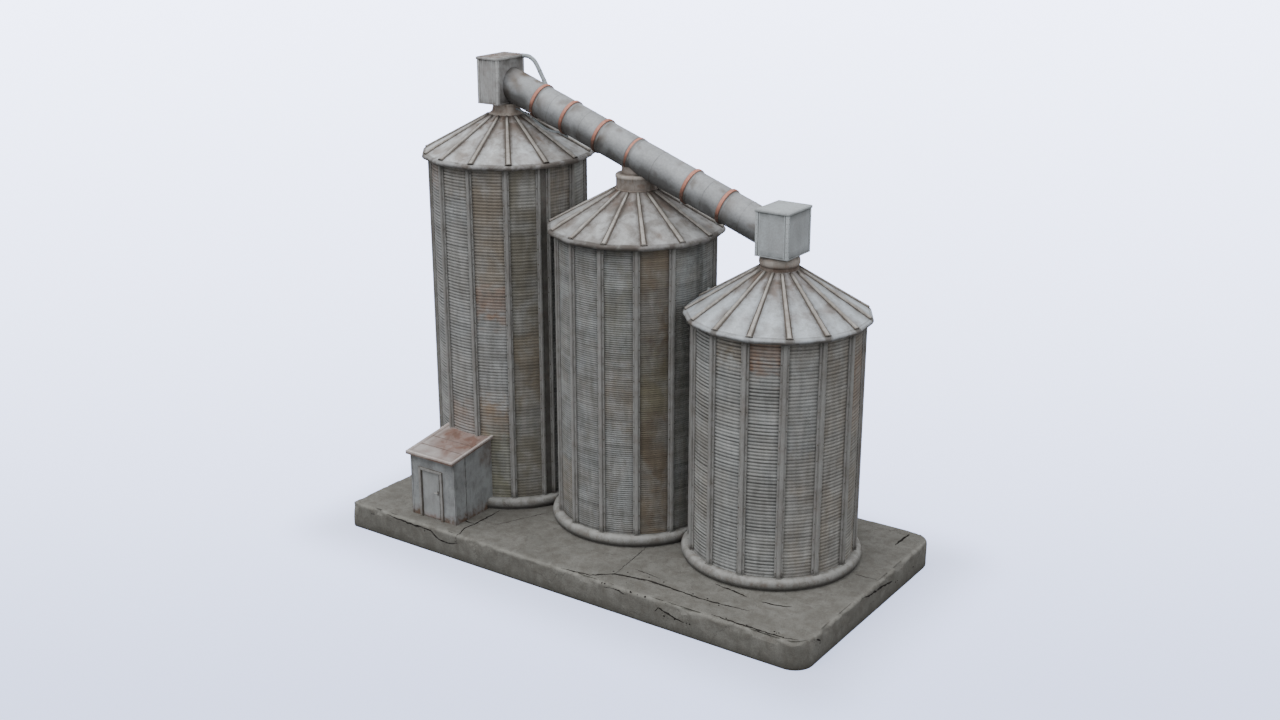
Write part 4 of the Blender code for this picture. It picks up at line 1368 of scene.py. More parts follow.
@dataclass(frozen=True)
class Pits:
    """A scatter of small pits between two corners of a box."""

    low: tuple[float, float, float]
    high: tuple[float, float, float]
    count: int
    radius: float = 0.035

    def lump(self, skin: Skin) -> None:
        """Adds the lumps that are cut out.

        Args:
            skin: The skin that collects all cutters.
        """
        for index in range(self.count):
            shares = [0.5 + 0.5 * math.sin(index * step + self.low[0]) for step in (12.99, 78.23, 37.72)]
            centre = Vector([low + (high - low) * share
                             for low, high, share in zip(self.low, self.high, shares)])
            shape = bmesh.new()
            bmesh.ops.create_icosphere(shape, subdivisions=1, radius=self.radius * (0.5 + 0.8 * shares[1]))
            skin.take(shape, lambda point: centre + point * (1 + 0.4 * wander(point + centre, 0.05)))


@dataclass
class Slab(Assembly):
    """The cracked concrete slab."""

    edge: float = 0.14
    radius_right: float = 0.8
    radius_left: float = 0.16
    spacing: float = 0.13
    cracks: tuple[Crack, ...] = (
        Crack(Face.FRONT, ((-8.9, 1.05), (-8.31, 1.0), (-6.39, 0.92), (-5.95, 0.66), (-5.4, 0.62),
                           (-4.98, 0.76), (-5.02, 1.14)), 0.085, 0.14),
        Crack(Face.TOP, ((-5.0, -5.5), (-5.0, -5.2), (-5.16, -4.66), (-5.08, -4.13), (-5.08, -2.55)), 0.07),
        Crack(Face.TOP, ((-5.67, -4.15), (-5.08, -4.13)), 0.07),
        Crack(Face.TOP, ((-4.38, -3.76), (-3.95, -2.9), (-3.33, -1.6)), 0.03, 0.05),
        Crack(Face.TOP, ((0.2, -5.3), (1.47, -5.14), (2.2, -4.53), (3.62, -4.25), (5.47, -4.34),
                         (6.75, -4.31), (7.92, -4.15)), 0.1, 0.16),
        Crack(Face.TOP, ((2.2, -4.5), (1.85, -1.6)), 0.03, 0.04),
        Crack(Face.TOP, ((2.6, -3.75), (3.9, -3.88)), 0.04, 0.06),
        Crack(Face.TOP, ((5.76, -3.07), (6.61, -3.17), (7.28, -3.28)), 0.09),
        Crack(Face.TOP, ((7.93, -3.31), (8.4, -3.26), (9.02, -3.02)), 0.07),
        Crack(Face.TOP, ((6.9, -5.16), (8.34, -5.2), (9.93, -5.15), (10.38, -5.0)), 0.09),
        Crack(Face.TOP, ((9.86, 3.79), (9.9, 5.0)), 0.09),
        Crack(Face.TOP, ((9.71, 0.64), (10.7, 0.68)), 0.035, 0.05),
        Crack(Face.RIGHT, ((-0.9, 1.02), (-0.2, 0.9), (0.6, 0.84), (1.71, 0.66)), 0.1, 0.14),
        Crack(Face.RIGHT, ((-4.4, 0.97), (-4.1, 0.8), (-4.15, 0.66)), 0.07),
        Crack(Face.FRONT, ((4.6, 0.62), (4.75, 0.78), (5.1, 0.72), (5.5, 0.6), (5.9, 0.55)), 0.08),
        Crack(Face.FRONT, ((2.3, 0.94), (2.8, 0.97), (3.3, 0.93)), 0.06))
    pits: tuple[Pits, ...] = (
        Pits((3.4, -5.4, 1.04), (5.6, -5.33, 1.1), 16), Pits((1.6, -5.4, 1.02), (2.3, -5.35, 1.08), 6),
        Pits((4.9, -5.41, 0.55), (6.2, -5.39, 0.85), 10), Pits((9.4, -5.3, 1.07), (10.3, -4.95, 1.1), 8),
        Pits((6.9, -5.3, 1.08), (9.0, -5.1, 1.1), 9), Pits((5.2, -4.6, 1.1), (6.8, -4.2, 1.1), 8),
        Pits((2.0, -4.9, 1.1), (4.2, -4.0, 1.1), 8), Pits((10.79, -3.0, 0.5), (10.81, 4.0, 1.0), 8),
        Pits((-10.0, -5.41, 0.4), (-1.0, -5.39, 1.0), 10))

    def weather(self, point: Vector) -> Weather:
        """Returns a dark band at the foot, dark streaks down the faces and wear along the top edge.

        Args:
            point: A point of the slab.
        Returns:
            Its weather.
        """
        inwards = min(SLAB_LENGTH / 2 - abs(point.x), SLAB_WIDTH / 2 - abs(point.y))
        streak = 0.5 + 0.5 * wander((point.x, point.y, 0.0), 0.45, 12.0)
        worn = smooth_step(point.z, 0.98, 1.07) * smooth_step(inwards, 0.2, 0.09) * (0.25 + 0.75 * streak)
        grime = smooth_step(point.z, 0.17, 0.07) + 0.25 * smooth_step(point.z, 0.95, 0.3) * streak
        return (min(1.0, grime), 0.0, 0.75 * worn)

    def outline(self, inset: float) -> list[Vector]:
        """Returns the plan outline moved inwards, with evenly spaced points.

        Args:
            inset: How far inwards.
        Returns:
            The points, anticlockwise.
        """
        corners = []
        for side_x, side_y, first in ((1, -1, -90), (1, 1, 0), (-1, 1, 90), (-1, -1, 180)):
            radius, steps = (self.radius_right, 8) if side_x > 0 else (self.radius_left, 4)
            centre = (side_x * (SLAB_LENGTH / 2 - radius), side_y * (SLAB_WIDTH / 2 - radius))
            corners.append(arc(centre, radius - inset, first, first + 90, steps))
        points = []
        for corner, following in zip(corners, corners[1:] + corners[:1]):
            start, end = Vector(corner[-1]), Vector(following[0])
            steps = round((SLAB_WIDTH if abs(start.x - end.x) < 1 else SLAB_LENGTH) / self.spacing)
            points += [Vector(point) for point in corner]
            points += [start.lerp(end, step / steps) for step in range(1, steps)]
        return points

    def chipped(self, point: Vector, z: float, strength: float) -> Vector:
        """Returns an outline point moved inwards where the edge is chipped.

        Args:
            point: The point in plan.
            z: Its height.
            strength: How much of the chipping reaches this height.
        Returns:
            The point in the row frame.
        """
        spot = (point.x, point.y, z)
        worn = 0.018 * (1 + wander(spot, 1.3)) / 2
        chip = max(0.0, wander(spot, 0.42, 7.0) + 0.02) * 0.17 * strength
        near = [-math.copysign(smooth_step(abs(value), size / 2 - 1.0, size / 2 - 0.2), value)
                for value, size in ((point.x, SLAB_LENGTH), (point.y, SLAB_WIDTH))]
        shift = (worn + chip) * Vector(near)
        return Vector((point.x + shift.x, point.y + shift.y, z - chip * 0.5))

    def build(self) -> None:
        """Builds the slab and cuts its cracks and pits."""
        low = SLAB_TOP - self.edge
        levels = [(0.03, 0.0, 0.0), (0.004, 0.05, 0.0), (0.0, 0.12, 0.1), (0.0, 0.4, 0.1), (0.0, 0.7, 0.2),
                  (0.0, 0.88, 0.6)]
        for step in range(7):
            turn = math.radians(15 * step)
            inset = self.edge * (1 - math.cos(turn))
            levels.append((inset, low + self.edge * math.sin(turn), 1.0 if step < 6 else 0.0))
        skin, cuts = Skin(), Skin()
        rings = [skin.ring([self.chipped(point, z, strength) for point in self.outline(inset)])
                 for inset, z, strength in levels]
        rings.append(skin.ring([Vector((*point, SLAB_TOP)) for point in self.outline(self.edge + 0.14)]))
        skin.bridge(rings)
        for crack in self.cracks:
            crack.wedge(cuts)
        for pit in self.pits:
            pit.lump(cuts)
        slab = cut(skin.make("cracked_slab", SLAB_CONCRETE, CRACK_CONCRETE, sharp=24),
                   cuts.make("crack_wedges", CRACK_CONCRETE), sharp=24)
        paint(slab, [self.weather(vertex.co) for vertex in slab.data.vertices])
        self.shop.deliver(slab, Slot.SLAB, "base_slab")


@dataclass
class Plinth(Assembly):
    """The half-round concrete ring under a silo."""

    silo: Silo
    rounding: float = 0.2
    sides: int = 144

    def reach(self, turn: float) -> float:
        """Returns the ring's radius at an angle, cut flat where it meets the next ring.

        Args:
            turn: Angle in radians.
        Returns:
            The radius.
        """
        silo, reach = self.silo, self.silo.plinth_radius
        for other in SILOS:
            spacing = abs(other.x - silo.x)
            along = math.cos(turn) * math.copysign(1, other.x - silo.x)
            if other is not silo and spacing < 8 and along > 0:
                meeting = (spacing ** 2 + silo.plinth_radius ** 2 - other.plinth_radius ** 2) / (2 * spacing)
                reach = min(reach, (meeting - 0.0002) / along)
        return reach

    def build(self) -> None:
        """Builds the ring."""
        silo, skin, rings = self.silo, Skin(), []
        for out, up in [(0.5, -1.0)] + arc((0, 0), 1.0, -60, 90, 12) + [(-1.0, 1.0)]:
            radius = silo.plinth_radius + self.rounding * (out - 1)
            z = SLAB_TOP + GAP + PLINTH_HEIGHT / 2 * (1 + up)
            places = []
            for turn in whole_turn(self.sides):
                is_edge = not 0 < up + 0.99 < 1.97
                lump = 0.0 if is_edge else 0.012 * (1 + wander(silo.point(turn, radius, z), 0.9, 2.0))
                places.append(silo.point(turn, min(radius - lump, self.reach(turn)), z))
            is_inside = out < -0.5
            # Painted shade darkens the ring's lower half and inner side; a painted highlight, given as wear,
            # lightens its top.
            grime = 0.9 * smooth_step(up, 0.5, -0.6) + (0.2 if is_inside else 0.0)
            worn = 0.0 if is_inside else 0.7 * smooth_step(up, 0.4, 0.9)
            rings.append(skin.ring(places, (grime, 0.35 * (up > 0), worn)))
        skin.bridge(rings)
        ring = skin.make(f"{silo.name}_plinth_ring", PLINTH_CONCRETE, sharp=60)
        self.shop.deliver(ring, Slot.PLINTH, f"{silo.name}_plinth")


@dataclass
class Shell(Assembly):
    """A silo's corrugated wall with its posts and their bolts."""

    silo: Silo
    depth: float = 0.018
    thickness: float = 0.062
    sunk: float = 0.03                    # how far the posts start inside the wall
    twin_turn: float = 4.0
    twin_share: float = 0.75
    bolt_spacing: float = 0.6
    bolt_margin: float = 0.2

    def angle(self, place: int) -> float:
        """Returns the angle of a post place in degrees."""
        return self.silo.post_phase + place * 360 / self.silo.posts

    def posts(self) -> list[tuple[float, float]]:
        """Lists the posts.

        Returns:
            Each post's angle in radians and its share of a single post's width.
        """
        found = []
        for place in range(self.silo.posts):
            angle = self.angle(place)
            if place in self.silo.twins:
                found += [(math.radians(angle + turn), self.twin_share)
                          for turn in (-self.twin_turn, self.twin_turn)]
            elif place not in self.silo.empties:
                found.append((math.radians(angle), 1.0))
        return found

    def build(self) -> None:
        """Builds the wall, the posts, the dark strip of painted shade between twin posts and the bolts."""
        silo = self.silo
        wall = grow(f"{silo.name}_corrugated_wall", shell_tree(), SHELLS[silo.name], sharp=70,
                    centre=(silo.x, ROW_Y, 0.0), radius=silo.shell_radius + 0.002, low=silo.wall_low,
                    high=silo.wall_high, pitch=silo.pitch, depth=self.depth, thickness=self.thickness,
                    columns=96, samples=5)
        nodes = [f"{silo.name}_wall_{side}" for side in ("front", "right", "back", "left")]
        self.shop.deliver(wall, Slot.WALL, *nodes)
        for part, root, face, height in (("flanges", 1.0, 0.95, FLANGE_HEIGHT),
                                         ("webs", 0.58, 0.42, POST_HEIGHT)):
            self.stand(f"post_{part}", POST_STEEL, self.posts(), root_width=silo.post_width * root,
                       face_width=silo.post_width * face, height=height + self.sunk, rounding=0.02,
                       foot=0.03, foot_margin=0.02)
        if silo.twins:
            # A dark strip between twin posts is painted shade for the recess there.
            gap_shades = [(math.radians(self.angle(place)), 1.0) for place in silo.twins]
            self.stand("joint_cover", GAP_SHADE, gap_shades, root_width=0.28, face_width=0.24, height=0.05,
                       rounding=0.01, foot=0.01, foot_margin=0.0)
        self.build_bolts()

    def stand(self, part: str, finish: Finish, posts: Sequence[tuple[float, float]], **sizes: float) -> None:
        """Stands bars as high as the wall around it.

        Args:
            part: What they are, as in the piece's name.
            finish: Their finish.
            posts: Each bar's angle in radians and its share of the full width.
            sizes: The bars' sizes.
        """
        silo = self.silo
        turns, shares = zip(*posts)
        places = [silo.point(turn, silo.shell_radius - self.sunk, silo.wall_low) for turn in turns]
        bars = grow(f"{silo.name}_{part}", bars_tree(), finish, places, {"turn": turns, "widen": shares},
                    length=silo.wall_high - silo.wall_low, **sizes)
        self.shop.deliver(bars, Slot.WALL)

    def build_bolts(self) -> None:
        """Builds a row of bolts on each flange of each post."""
        silo = self.silo
        height = silo.wall_high - silo.wall_low - 2 * self.bolt_margin
        count = int(height / self.bolt_spacing)
        places, aims = [], []
        for turn, share in self.posts():
            out, across = outwards(turn)
            side = across * silo.post_width * share * 0.38
            for step in range(count + 1):
                z = silo.wall_low + self.bolt_margin + step * height / count
                middle = silo.point(turn, silo.shell_radius + FLANGE_HEIGHT, z)
                places += [middle - side, middle + side]
                aims += [out, out]
        bolts = grow(f"{silo.name}_post_bolts", bolts_tree(), BOLT_STEEL, places, {"aim": aims}, radius=0.016,
                     height=0.01)
        self.shop.deliver(bolts, Slot.WALL)


@dataclass
class Roof(Assembly):
    """A ribbed sheet roof with a rolled eave."""

    silo: Silo
    taller: Silo | None
    eave_grime: float
    rim: float = 0.1
    rib_width: float = 0.18
    rib_height: float = 0.062
    seal_height: float = 0.009
    sheet: float = 0.08
    hatch: float = 0.35

    @property
    def rim_centre(self) -> tuple[float, float]:
        """Radius and height of the middle of the rolled eave."""
        return self.silo.eave_radius - self.rim, self.silo.eave_z + self.rim

    @property
    def slope(self) -> float:
        """Fall over run of the roof's sheets."""
        radius, z = self.rim_centre
        return (self.silo.top_z - z - self.rim) / (radius - self.silo.top_radius)

    def surface(self, radius: float) -> float:
        """Returns the height of the sheets at a distance from the axis."""
        return self.silo.top_z - self.slope * (radius - self.silo.top_radius)

    def rib_turns(self) -> list[float]:
        """Returns each rib's angle in radians."""
        return [math.radians(self.silo.rib_phase + index * 360 / self.silo.ribs)
                for index in range(self.silo.ribs)]

    def rows(self) -> list[tuple[float, float, float]]:
        """Lists the rows from the top out over the eave and back under.

        Returns:
            Radius, height and grime-and-shade value of each row.
        """
        silo = self.silo
        rim_radius, rim_z = self.rim_centre
        seat = silo.shell_radius - 0.16
        rows = []
        for step in range(13):
            share = step / 12
            radius = silo.top_radius + (rim_radius - 0.06 - silo.top_radius) * share
            rows.append((radius, self.surface(radius), 0.5 * smooth_step(share, 0.1, 0.0)))
        # The dark line where the sheets meet the rolled eave, and the eave's darker underside, are painted
        # shade.
        rows.append((rim_radius - 0.03, self.surface(rim_radius - 0.03) - 0.004, 0.7))
        for radius, z in arc((rim_radius, rim_z), self.rim, 75, -90, 9):
            rows.append((radius, z, max(self.eave_grime, smooth_step(z, rim_z + 0.05, rim_z - 0.02))))
        # Under the roof the rows are darker: painted shade.
        return rows + [
            (seat, silo.eave_z, 1.0), (seat, self.surface(seat) - self.sheet, 0.6),
            (silo.top_radius, silo.top_z - self.sheet, 0.6), (self.hatch, silo.top_z - self.sheet, 0.6),
            (self.hatch, silo.top_z, 0.6)]

    def ring_points(self, radius: float, z: float) -> list[tuple[Vector, float]]:
        """Returns one ring's points, each with its distance from the nearest rib's edge.

        Args:
            radius: Distance of the ribs from the axis.
            z: Height.
        Returns:
            Points and distances.
        """
        silo = self.silo
        half = min(self.rib_width / 2, 0.3 * 2 * math.pi * radius / silo.ribs)
        edges = []
        for turn in self.rib_turns():
            middle, across = silo.point(turn, radius, z), outwards(turn)[1]
            edges.append((middle - across * half, middle + across * half))
        found = []
        for (left, right), (following, _) in zip(edges, edges[1:] + edges[:1]):
            width = (following - right).length
            near = min(0.05, width * 0.18) / width
            found += [(left, 0.0), (right, 0.0)]
            found += [(right.lerp(following, share), width * min(share, 1 - share))
                      for share in (near, near * 2.6, 0.5, 1 - near * 2.6, 1 - near)]
        return found

    def notch(self) -> Thing:
        """Makes the cutter for the place where the taller silo stands.

        Returns:
            The cutter.
        """
        skin, radius = Skin(), self.taller.shell_radius + POST_HEIGHT + 0.02
        skin.bridge([skin.ring([self.taller.point(turn, radius, z) for turn in whole_turn(96)])
                     for z in (self.silo.eave_z - 1, self.silo.top_z)])
        return skin.make(f"{self.silo.name}_notch", ROOFS[self.silo.name])

    def aged(self, point: Vector, radius: float, apart: float, grime: float, on_top: bool) -> Weather:
        """Returns the weather at a point of the sheets.

        Args:
            point: Where.
            radius: Distance of its ring from the axis.
            apart: Distance from the nearest rib's edge.
            grime: Grime and painted shade of the whole row.
            on_top: Whether it is on the upper side.
        Returns:
            Grime and painted shade, rust and worn.
        """
        if not on_top:
            return (grime, 0.1, 0.0)
        # Next to each rib the sheet darkens: the narrow band is painted shade, the broad one dirt.
        beside = max(0.95 * smooth_step(apart, 0.16, 0.02), 0.42 * smooth_step(apart, 0.55, 0.08))
        fall = (radius - self.silo.top_radius) / (self.rim_centre[0] - self.silo.top_radius)
        run = wander((point.x, point.y, 0.0), 0.5, 9.0)
        stain = smooth_step(wander(point, 0.7, 21.0), 0.15, 0.5) * 0.45
        return (max(grime, beside), max(stain, smooth_step(fall + 0.3 * run, 0.5, 0.0) * 0.9), 0.0)

    def build(self) -> None:
        """Builds the sheets and the ribs."""
        silo, skin, rings = self.silo, Skin(), []
        for radius, z, grime in self.rows():
            on_top = radius > silo.top_radius - 0.01 and z > silo.eave_z + self.rim
            places, weather = [], []
            for point, apart in self.ring_points(radius, z):
                if on_top and radius < self.rim_centre[0] - 0.07:
                    point.z += 0.012 * wander(point, 0.55, 4.0) * smooth_step(apart, 0.0, 0.2)
                places.append(point)
                weather.append(self.aged(point, radius, apart, grime, on_top))
            rings.append(skin.ring(places, weather))
        skin.bridge(rings, loop=True)
        sheets = skin.make(f"{silo.name}_roof_sheets", ROOFS[silo.name], sharp=28)
        if self.taller:
            sheets = cut(sheets, self.notch(), sharp=28)
        self.shop.deliver(sheets, Slot.ROOF, f"{silo.name}_roof")
        self.build_ribs()

    def build_ribs(self) -> None:
        """Builds the ribs, each from its end cap over the eave up to the neck, on wider dark strips of
        painted shade.
        """
        silo, turns, sunk = self.silo, self.rib_turns(), 0.012
        start, end = self.rim_centre[0] - 0.01, silo.top_radius + 0.03
        run, rise = start - end, self.slope * (start - end)
        places = [silo.point(turn, start, self.surface(start) - sunk) for turn in turns]
        for part, finish, root, face, height, rounding in (
                ("seals", RIB_SHADE_STRIP, self.rib_width + 0.08, self.rib_width + 0.07, self.seal_height, 0.003),
                ("ribs", RIB_STEEL, self.rib_width, self.rib_width * 0.66, self.rib_height, 0.022)):
            bars = grow(f"{silo.name}_roof_{part}", bars_tree(), finish, places,
                        {"turn": turns, "widen": [1.0] * silo.ribs}, length=math.hypot(run, rise),
                        root_width=root, face_width=face, height=height + sunk, rounding=rounding, taper=0.4,
                        lean=math.atan2(rise, run) - math.pi / 2, foot=0.03, foot_margin=0.01)
            if self.taller:
                bars = cut(bars, self.notch())
            self.shop.deliver(bars, Slot.ROOF)


@dataclass
class Spouts(Assembly):
    """The turned pieces between the roofs and the conveyor."""

    sides: int = 64

    def turned(self, silo: Silo, name: str, profile: Sequence[tuple[float, ...]], node: str) -> None:
        """Turns a profile about a silo's axis.

        Args:
            silo: The silo.
            name: The piece's name.
            profile: Radius, height over the roof, grime, rust and worn rows from the foot up; grime there
                also stands for painted shade, and worn for painted highlights.
            node: The CAD node that it replaces.
        """
        skin, rings = Skin(), []
        for radius, height, *weather in profile:
            z = silo.top_z + GAP + height
            rings.append(skin.ring([
                silo.point(turn, radius + 0.006 * wander(silo.point(turn, 0.6, z), 0.35, 5.0), z)
                for turn in whole_turn(self.sides)], tuple(weather)))
        skin.bridge(rings)
        self.shop.deliver(skin.make(name, SPOUT_STEEL), Slot.SPOUT, node)

    def build(self) -> None:
        """Builds the neck, the spout with its collar and the short collar."""
        high = 17.49 - TALL.top_z - GAP
        # The darker rows at each foot, under each collar and at each top are painted shade, with dirt and
        # rust; the worn rows on the flare and the collars are painted highlights.
        self.turned(TALL, "tall_neck_flared", [
            (0.69, 0.0, 0.7, 0.2, 0.0), (0.69, 0.03, 0.0, 0.2, 0.9), (0.62, 0.09, 0.0, 0.3, 0.9),
            (0.575, 0.17, 0.0, 0.3, 1.0), (0.555, 0.27, 0.0, 0.2, 1.0), (0.555, 0.36, 0.0, 0.1, 0.9),
            (0.585, 0.375, 0.0, 0.1, 0.9), (0.585, high, 0.4, 0.1, 0.4)], "tall_neck")
        self.turned(MIDDLE, "middle_spout_collared", [
            (0.8, 0.0, 1.0, 0.5, 0.0), (0.8, 0.03, 0.6, 0.5, 0.0), (0.776, 0.05, 0.5, 0.35, 0.0),
            (0.77, 0.2, 0.35, 0.25, 0.0), (0.768, 0.42, 0.35, 0.1, 0.0), (0.79, 0.46, 0.6, 0.1, 0.0),
            (0.79, 0.54, 0.0, 0.0, 0.6), (0.75, 0.6, 0.0, 0.0, 0.6), (0.6, 0.605, 0.5, 0.1, 0.0),
            (0.548, 0.61, 0.9, 0.2, 0.0), (0.544, 0.7, 0.3, 0.3, 0.0), (0.544, 1.02, 0.9, 0.3, 0.0)],
            "middle_spout")
        high = 13.1297 - SHORT.top_z - GAP
        self.turned(SHORT, "short_collar_ring", [
            (0.72, 0.0, 0.9, 0.8, 0.0), (0.7, 0.11, 0.8, 0.9, 0.0), (0.745, 0.15, 0.5, 0.3, 0.0),
            (0.766, 0.22, 0.1, 0.1, 0.4), (0.767, 0.31, 0.0, 0.0, 0.5), (0.755, 0.39, 0.1, 0.0, 0.3),
            (0.735, high - 0.08, 0.5, 0.1, 0.0), (0.7, high, 0.9, 0.2, 0.0)], "short_collar")


@dataclass
class Conveyor(Assembly):
    """The sloping pipe with its bands, clamps and the small pipes beside it."""

    radius: float = 0.66
    top_z: float = 18.352
    low_z: float = 13.763
    first_x: float = -6.28
    last_x: float = 5.48
    bands: tuple[float, ...] = (1.96, 3.47, 5.13, 6.72, 9.48, 11.14)
    seams: tuple[float, ...] = (2.72, 4.3, 7.9, 10.3, 12.05)
    low_band: int = 3
    strap_shift: float = -0.015           # of a copper band on its liner
    clamp_turn: float = 238.0
    sunk: float = 0.01                    # how far bands and seams start inside the pipe
    lengths: int = 96                     # rows of faces along the pipe
    sides: int = 72

    @property
    def slope(self) -> float:
        """Angle of the pipe under the horizon."""
        return math.atan2(self.top_z - self.low_z, SHORT.x - TALL.x)

    def point(self, distance: float, turn: float, radius: float) -> Vector:
        """Returns a point about the pipe's axis.

        Args:
            distance: Along the axis from the tall silo's axis.
            turn: Angle in radians from the back, over the top.
            radius: Distance from the axis.
        Returns:
            The point.
        """
        run, fall = math.cos(self.slope), math.sin(self.slope)
        up = radius * math.sin(turn)
        return Vector((TALL.x + distance * run + up * fall, ROW_Y + radius * math.cos(turn),
                       self.top_z - distance * fall + up * run))

    def end_distance(self, x: float, turn: float) -> float:
        """Returns how far along the axis a line of the pipe meets an upright plane.

        Args:
            x: The plane's place.
            turn: The line's angle.
        Returns:
            The distance.
        """
        up = self.radius * math.sin(turn) * math.sin(self.slope)
        return (x - TALL.x - up) / math.cos(self.slope)

    def weather(self, point: Vector, distance: float, turn: float) -> Weather:
        """Returns the weather at a point of the pipe.

        Args:
            point: Where.
            distance: Along the axis.
            turn: Angle about the axis.
        Returns:
            Grime and painted shade, rust and worn.
        """
        # Painted shade: the pipe darkens on its underside, near its start at the box and beside the bands.
        under = smooth_step(-math.sin(turn), -0.6, 0.4)
        start = 0.9 * smooth_step(distance, 0.62, 0.42)
        near = min(abs(distance - band) for band in self.bands)
        below = min((distance - band) % 99 for band in self.bands)
        smudge = 0.5 + 0.5 * wander(point, 0.5, 11.0)
        rust = max(smooth_step(below, 0.8, 0.1) * smooth_step(smudge, 0.42, 0.75),
                   smooth_step(distance, 1.7, 0.9) * smooth_step(smudge, 0.35, 0.7),
                   0.7 * smooth_step(wander(point, 0.4, 30.0), 0.32, 0.6))
        return (max(under, start, 0.3 * smooth_step(near, 0.25, 0.11)), rust, 0.0)

    def build(self) -> None:
        """Builds the pipe, its bands, its seams and the small pipes."""
        turns = whole_turn(self.sides)
        reach = self.radius * math.tan(self.slope) + 0.02
        first, last = [(x - TALL.x) / math.cos(self.slope) for x in (self.first_x, self.last_x)]
        lines = [[self.end_distance(self.first_x + GAP, turn) for turn in turns]]
        lines += [[first + reach + (last - first - 2 * reach) * step / self.lengths] * self.sides
                  for step in range(self.lengths + 1)]
        lines.append([self.end_distance(self.last_x - GAP, turn) for turn in turns])
        skin, rings = Skin(), []
        for index, distances in enumerate(lines):
            places, weather = [], []
            for turn, distance in zip(turns, distances):
                spot = self.point(distance, turn, self.radius)
                dent = 0.005 * wander(spot, 0.6, 8.0) if 0 < index < len(lines) - 1 else 0.0
                places.append(self.point(distance, turn, self.radius + dent))
                weather.append(self.weather(spot, distance, turn))
            rings.append(skin.ring(places, weather))
        skin.bridge(rings)
        self.shop.deliver(skin.make("conveyor_pipe_dented", PIPE_STEEL), Slot.PIPE, "conveyor_pipe")
        for index in range(len(self.bands)):
            self.build_band(index)
        self.build_seams()
        self.build_vent()
        self.shop.coat(CONDUIT_STEEL, "clamped_conduit", "drop_conduit")

    def hoop(self, skin: Skin, distance: float, profile: Sequence[tuple[float, float, Weather]]) -> None:
        """Adds a closed hoop around the pipe.

        Args:
            skin: The skin that it goes into.
            distance: Where along the axis.
            profile: Distance from its middle, height over the pipe and weather rows.
        """
        rings = []
        for along, height, (grime, rust, worn) in profile:
            places, weather = [], []
            for turn in whole_turn(self.sides):
                # Painted shade: the hoop darkens on its underside, given both as grime and as rust colour.
                under = smooth_step(-math.sin(turn), -0.45, 0.5)
                places.append(self.point(distance + along, turn, self.radius + height))
                weather.append((max(grime, under), max(rust, 0.9 * under), worn))
            rings.append(skin.ring(places, weather))
        skin.bridge(rings, loop=True)

    def build_band(self, index: int) -> None:
        """Builds one copper band on its steel liner, with its clamp.

        Args:
            index: The band's place in the row of bands.
        """
        band, liner, distance = Skin(), Skin(), self.bands[index]
        height, half = (0.022, 0.055) if index == self.low_band else (0.05, 0.07)
        edge = min(0.014, height / 2)
        lip, pale, dark = (0.35, 0.4, 0.0), (0.1, 0.1, 0.0), (0.75, 0.6, 0.0)
        self.hoop(band, distance + self.strap_shift, [
            (-half, -self.sunk, lip), (-half, height - edge, lip), (-half + edge, height, CLEAN),
            (0.0, height + 0.004, CLEAN), (half - edge, height, CLEAN), (half, height - edge, lip),
            (half, -self.sunk, lip)])
        self.shop.deliver(band.make(f"pipe_strap_{index + 1}", BAND_COPPER), Slot.BAND,
                          f"pipe_band_{index + 1}")
        # The liner's dark rows beside the band are a painted shadow of the band on the pipe.
        self.hoop(liner, distance, [
            (-0.13, -self.sunk, pale), (-0.13, 0.008, pale), (-0.09, 0.014, dark), (0.06, 0.016, dark),
            (0.1, 0.014, (0.5, 0.5, 0.0)), (0.15, 0.008, pale), (0.15, -self.sunk, pale)])
        turn = math.radians(self.clamp_turn)
        centre = self.point(distance + self.strap_shift, turn, self.radius + height + 0.022)
        lean = Euler((math.radians(90) - turn, self.slope, 0.0)).to_matrix().to_4x4()
        frame = Matrix.Translation(centre) @ lean
        for side in (-0.026, 0.026):
            liner.box((-0.055, side - 0.012, -0.06), (0.055, side + 0.012, 0.05), 0.006, (0.3, 0.4, 0.3),
                      frame)
        liner.box((-0.014, -0.06, -0.014), (0.014, 0.06, 0.014), 0.004, (0.2, 0.3, 0.6), frame)
        self.shop.deliver(liner.make(f"strap_liner_{index + 1}", PIPE_STEEL), Slot.BAND)

    def build_seams(self) -> None:
        """Builds the thin welded seams between lengths of pipe."""
        skin, dirty = Skin(), (0.5, 0.2, 0.0)
        for distance in self.seams:
            self.hoop(skin, distance, [
                (-0.014, -self.sunk, dirty), (-0.012, 0.002, dirty), (0.0, 0.008, CLEAN),
                (0.012, 0.002, dirty), (0.014, -self.sunk, dirty)])
        self.shop.deliver(skin.make("pipe_seams", PIPE_STEEL), Slot.PIPE)

    def build_vent(self) -> None:
        """Builds the bent vent pipe with a flange at each end."""
        corners = [Vector(point) for point in (
            (-6.24, 1.14, 19.306), (-5.93, 1.14, 19.306), (-5.55, 1.06, 19.15), (-4.85, 0.9, 18.2))]
        path = [corners[0]]
        for before, corner, after in zip(corners, corners[1:], corners[2:]):
            enter, leave = corner.lerp(before, 0.4), corner.lerp(after, 0.3)
            for share in [step / 6 for step in range(7)]:
                path.append(enter.lerp(corner, share).lerp(corner.lerp(leave, share), share))
        path.append(corners[-1])
        skin = Skin()
        skin.tube(path, 0.087)
        skin.tube([path[0], path[0] + Vector((0.04, 0.0, 0.0))], 0.0895, (0.5, 0.3, 0.0))
        heading = (path[-1] - path[-2]).normalized()
        for share in (0.12, 0.62):
            spot = path[-2].lerp(path[-1], share)
            skin.tube([spot, spot + heading * 0.03], 0.094, (0.1, 0.1, 0.0))
        self.shop.deliver(skin.make("vent_pipe_flanged", CONDUIT_STEEL), Slot.PIPE, "vent_pipe")


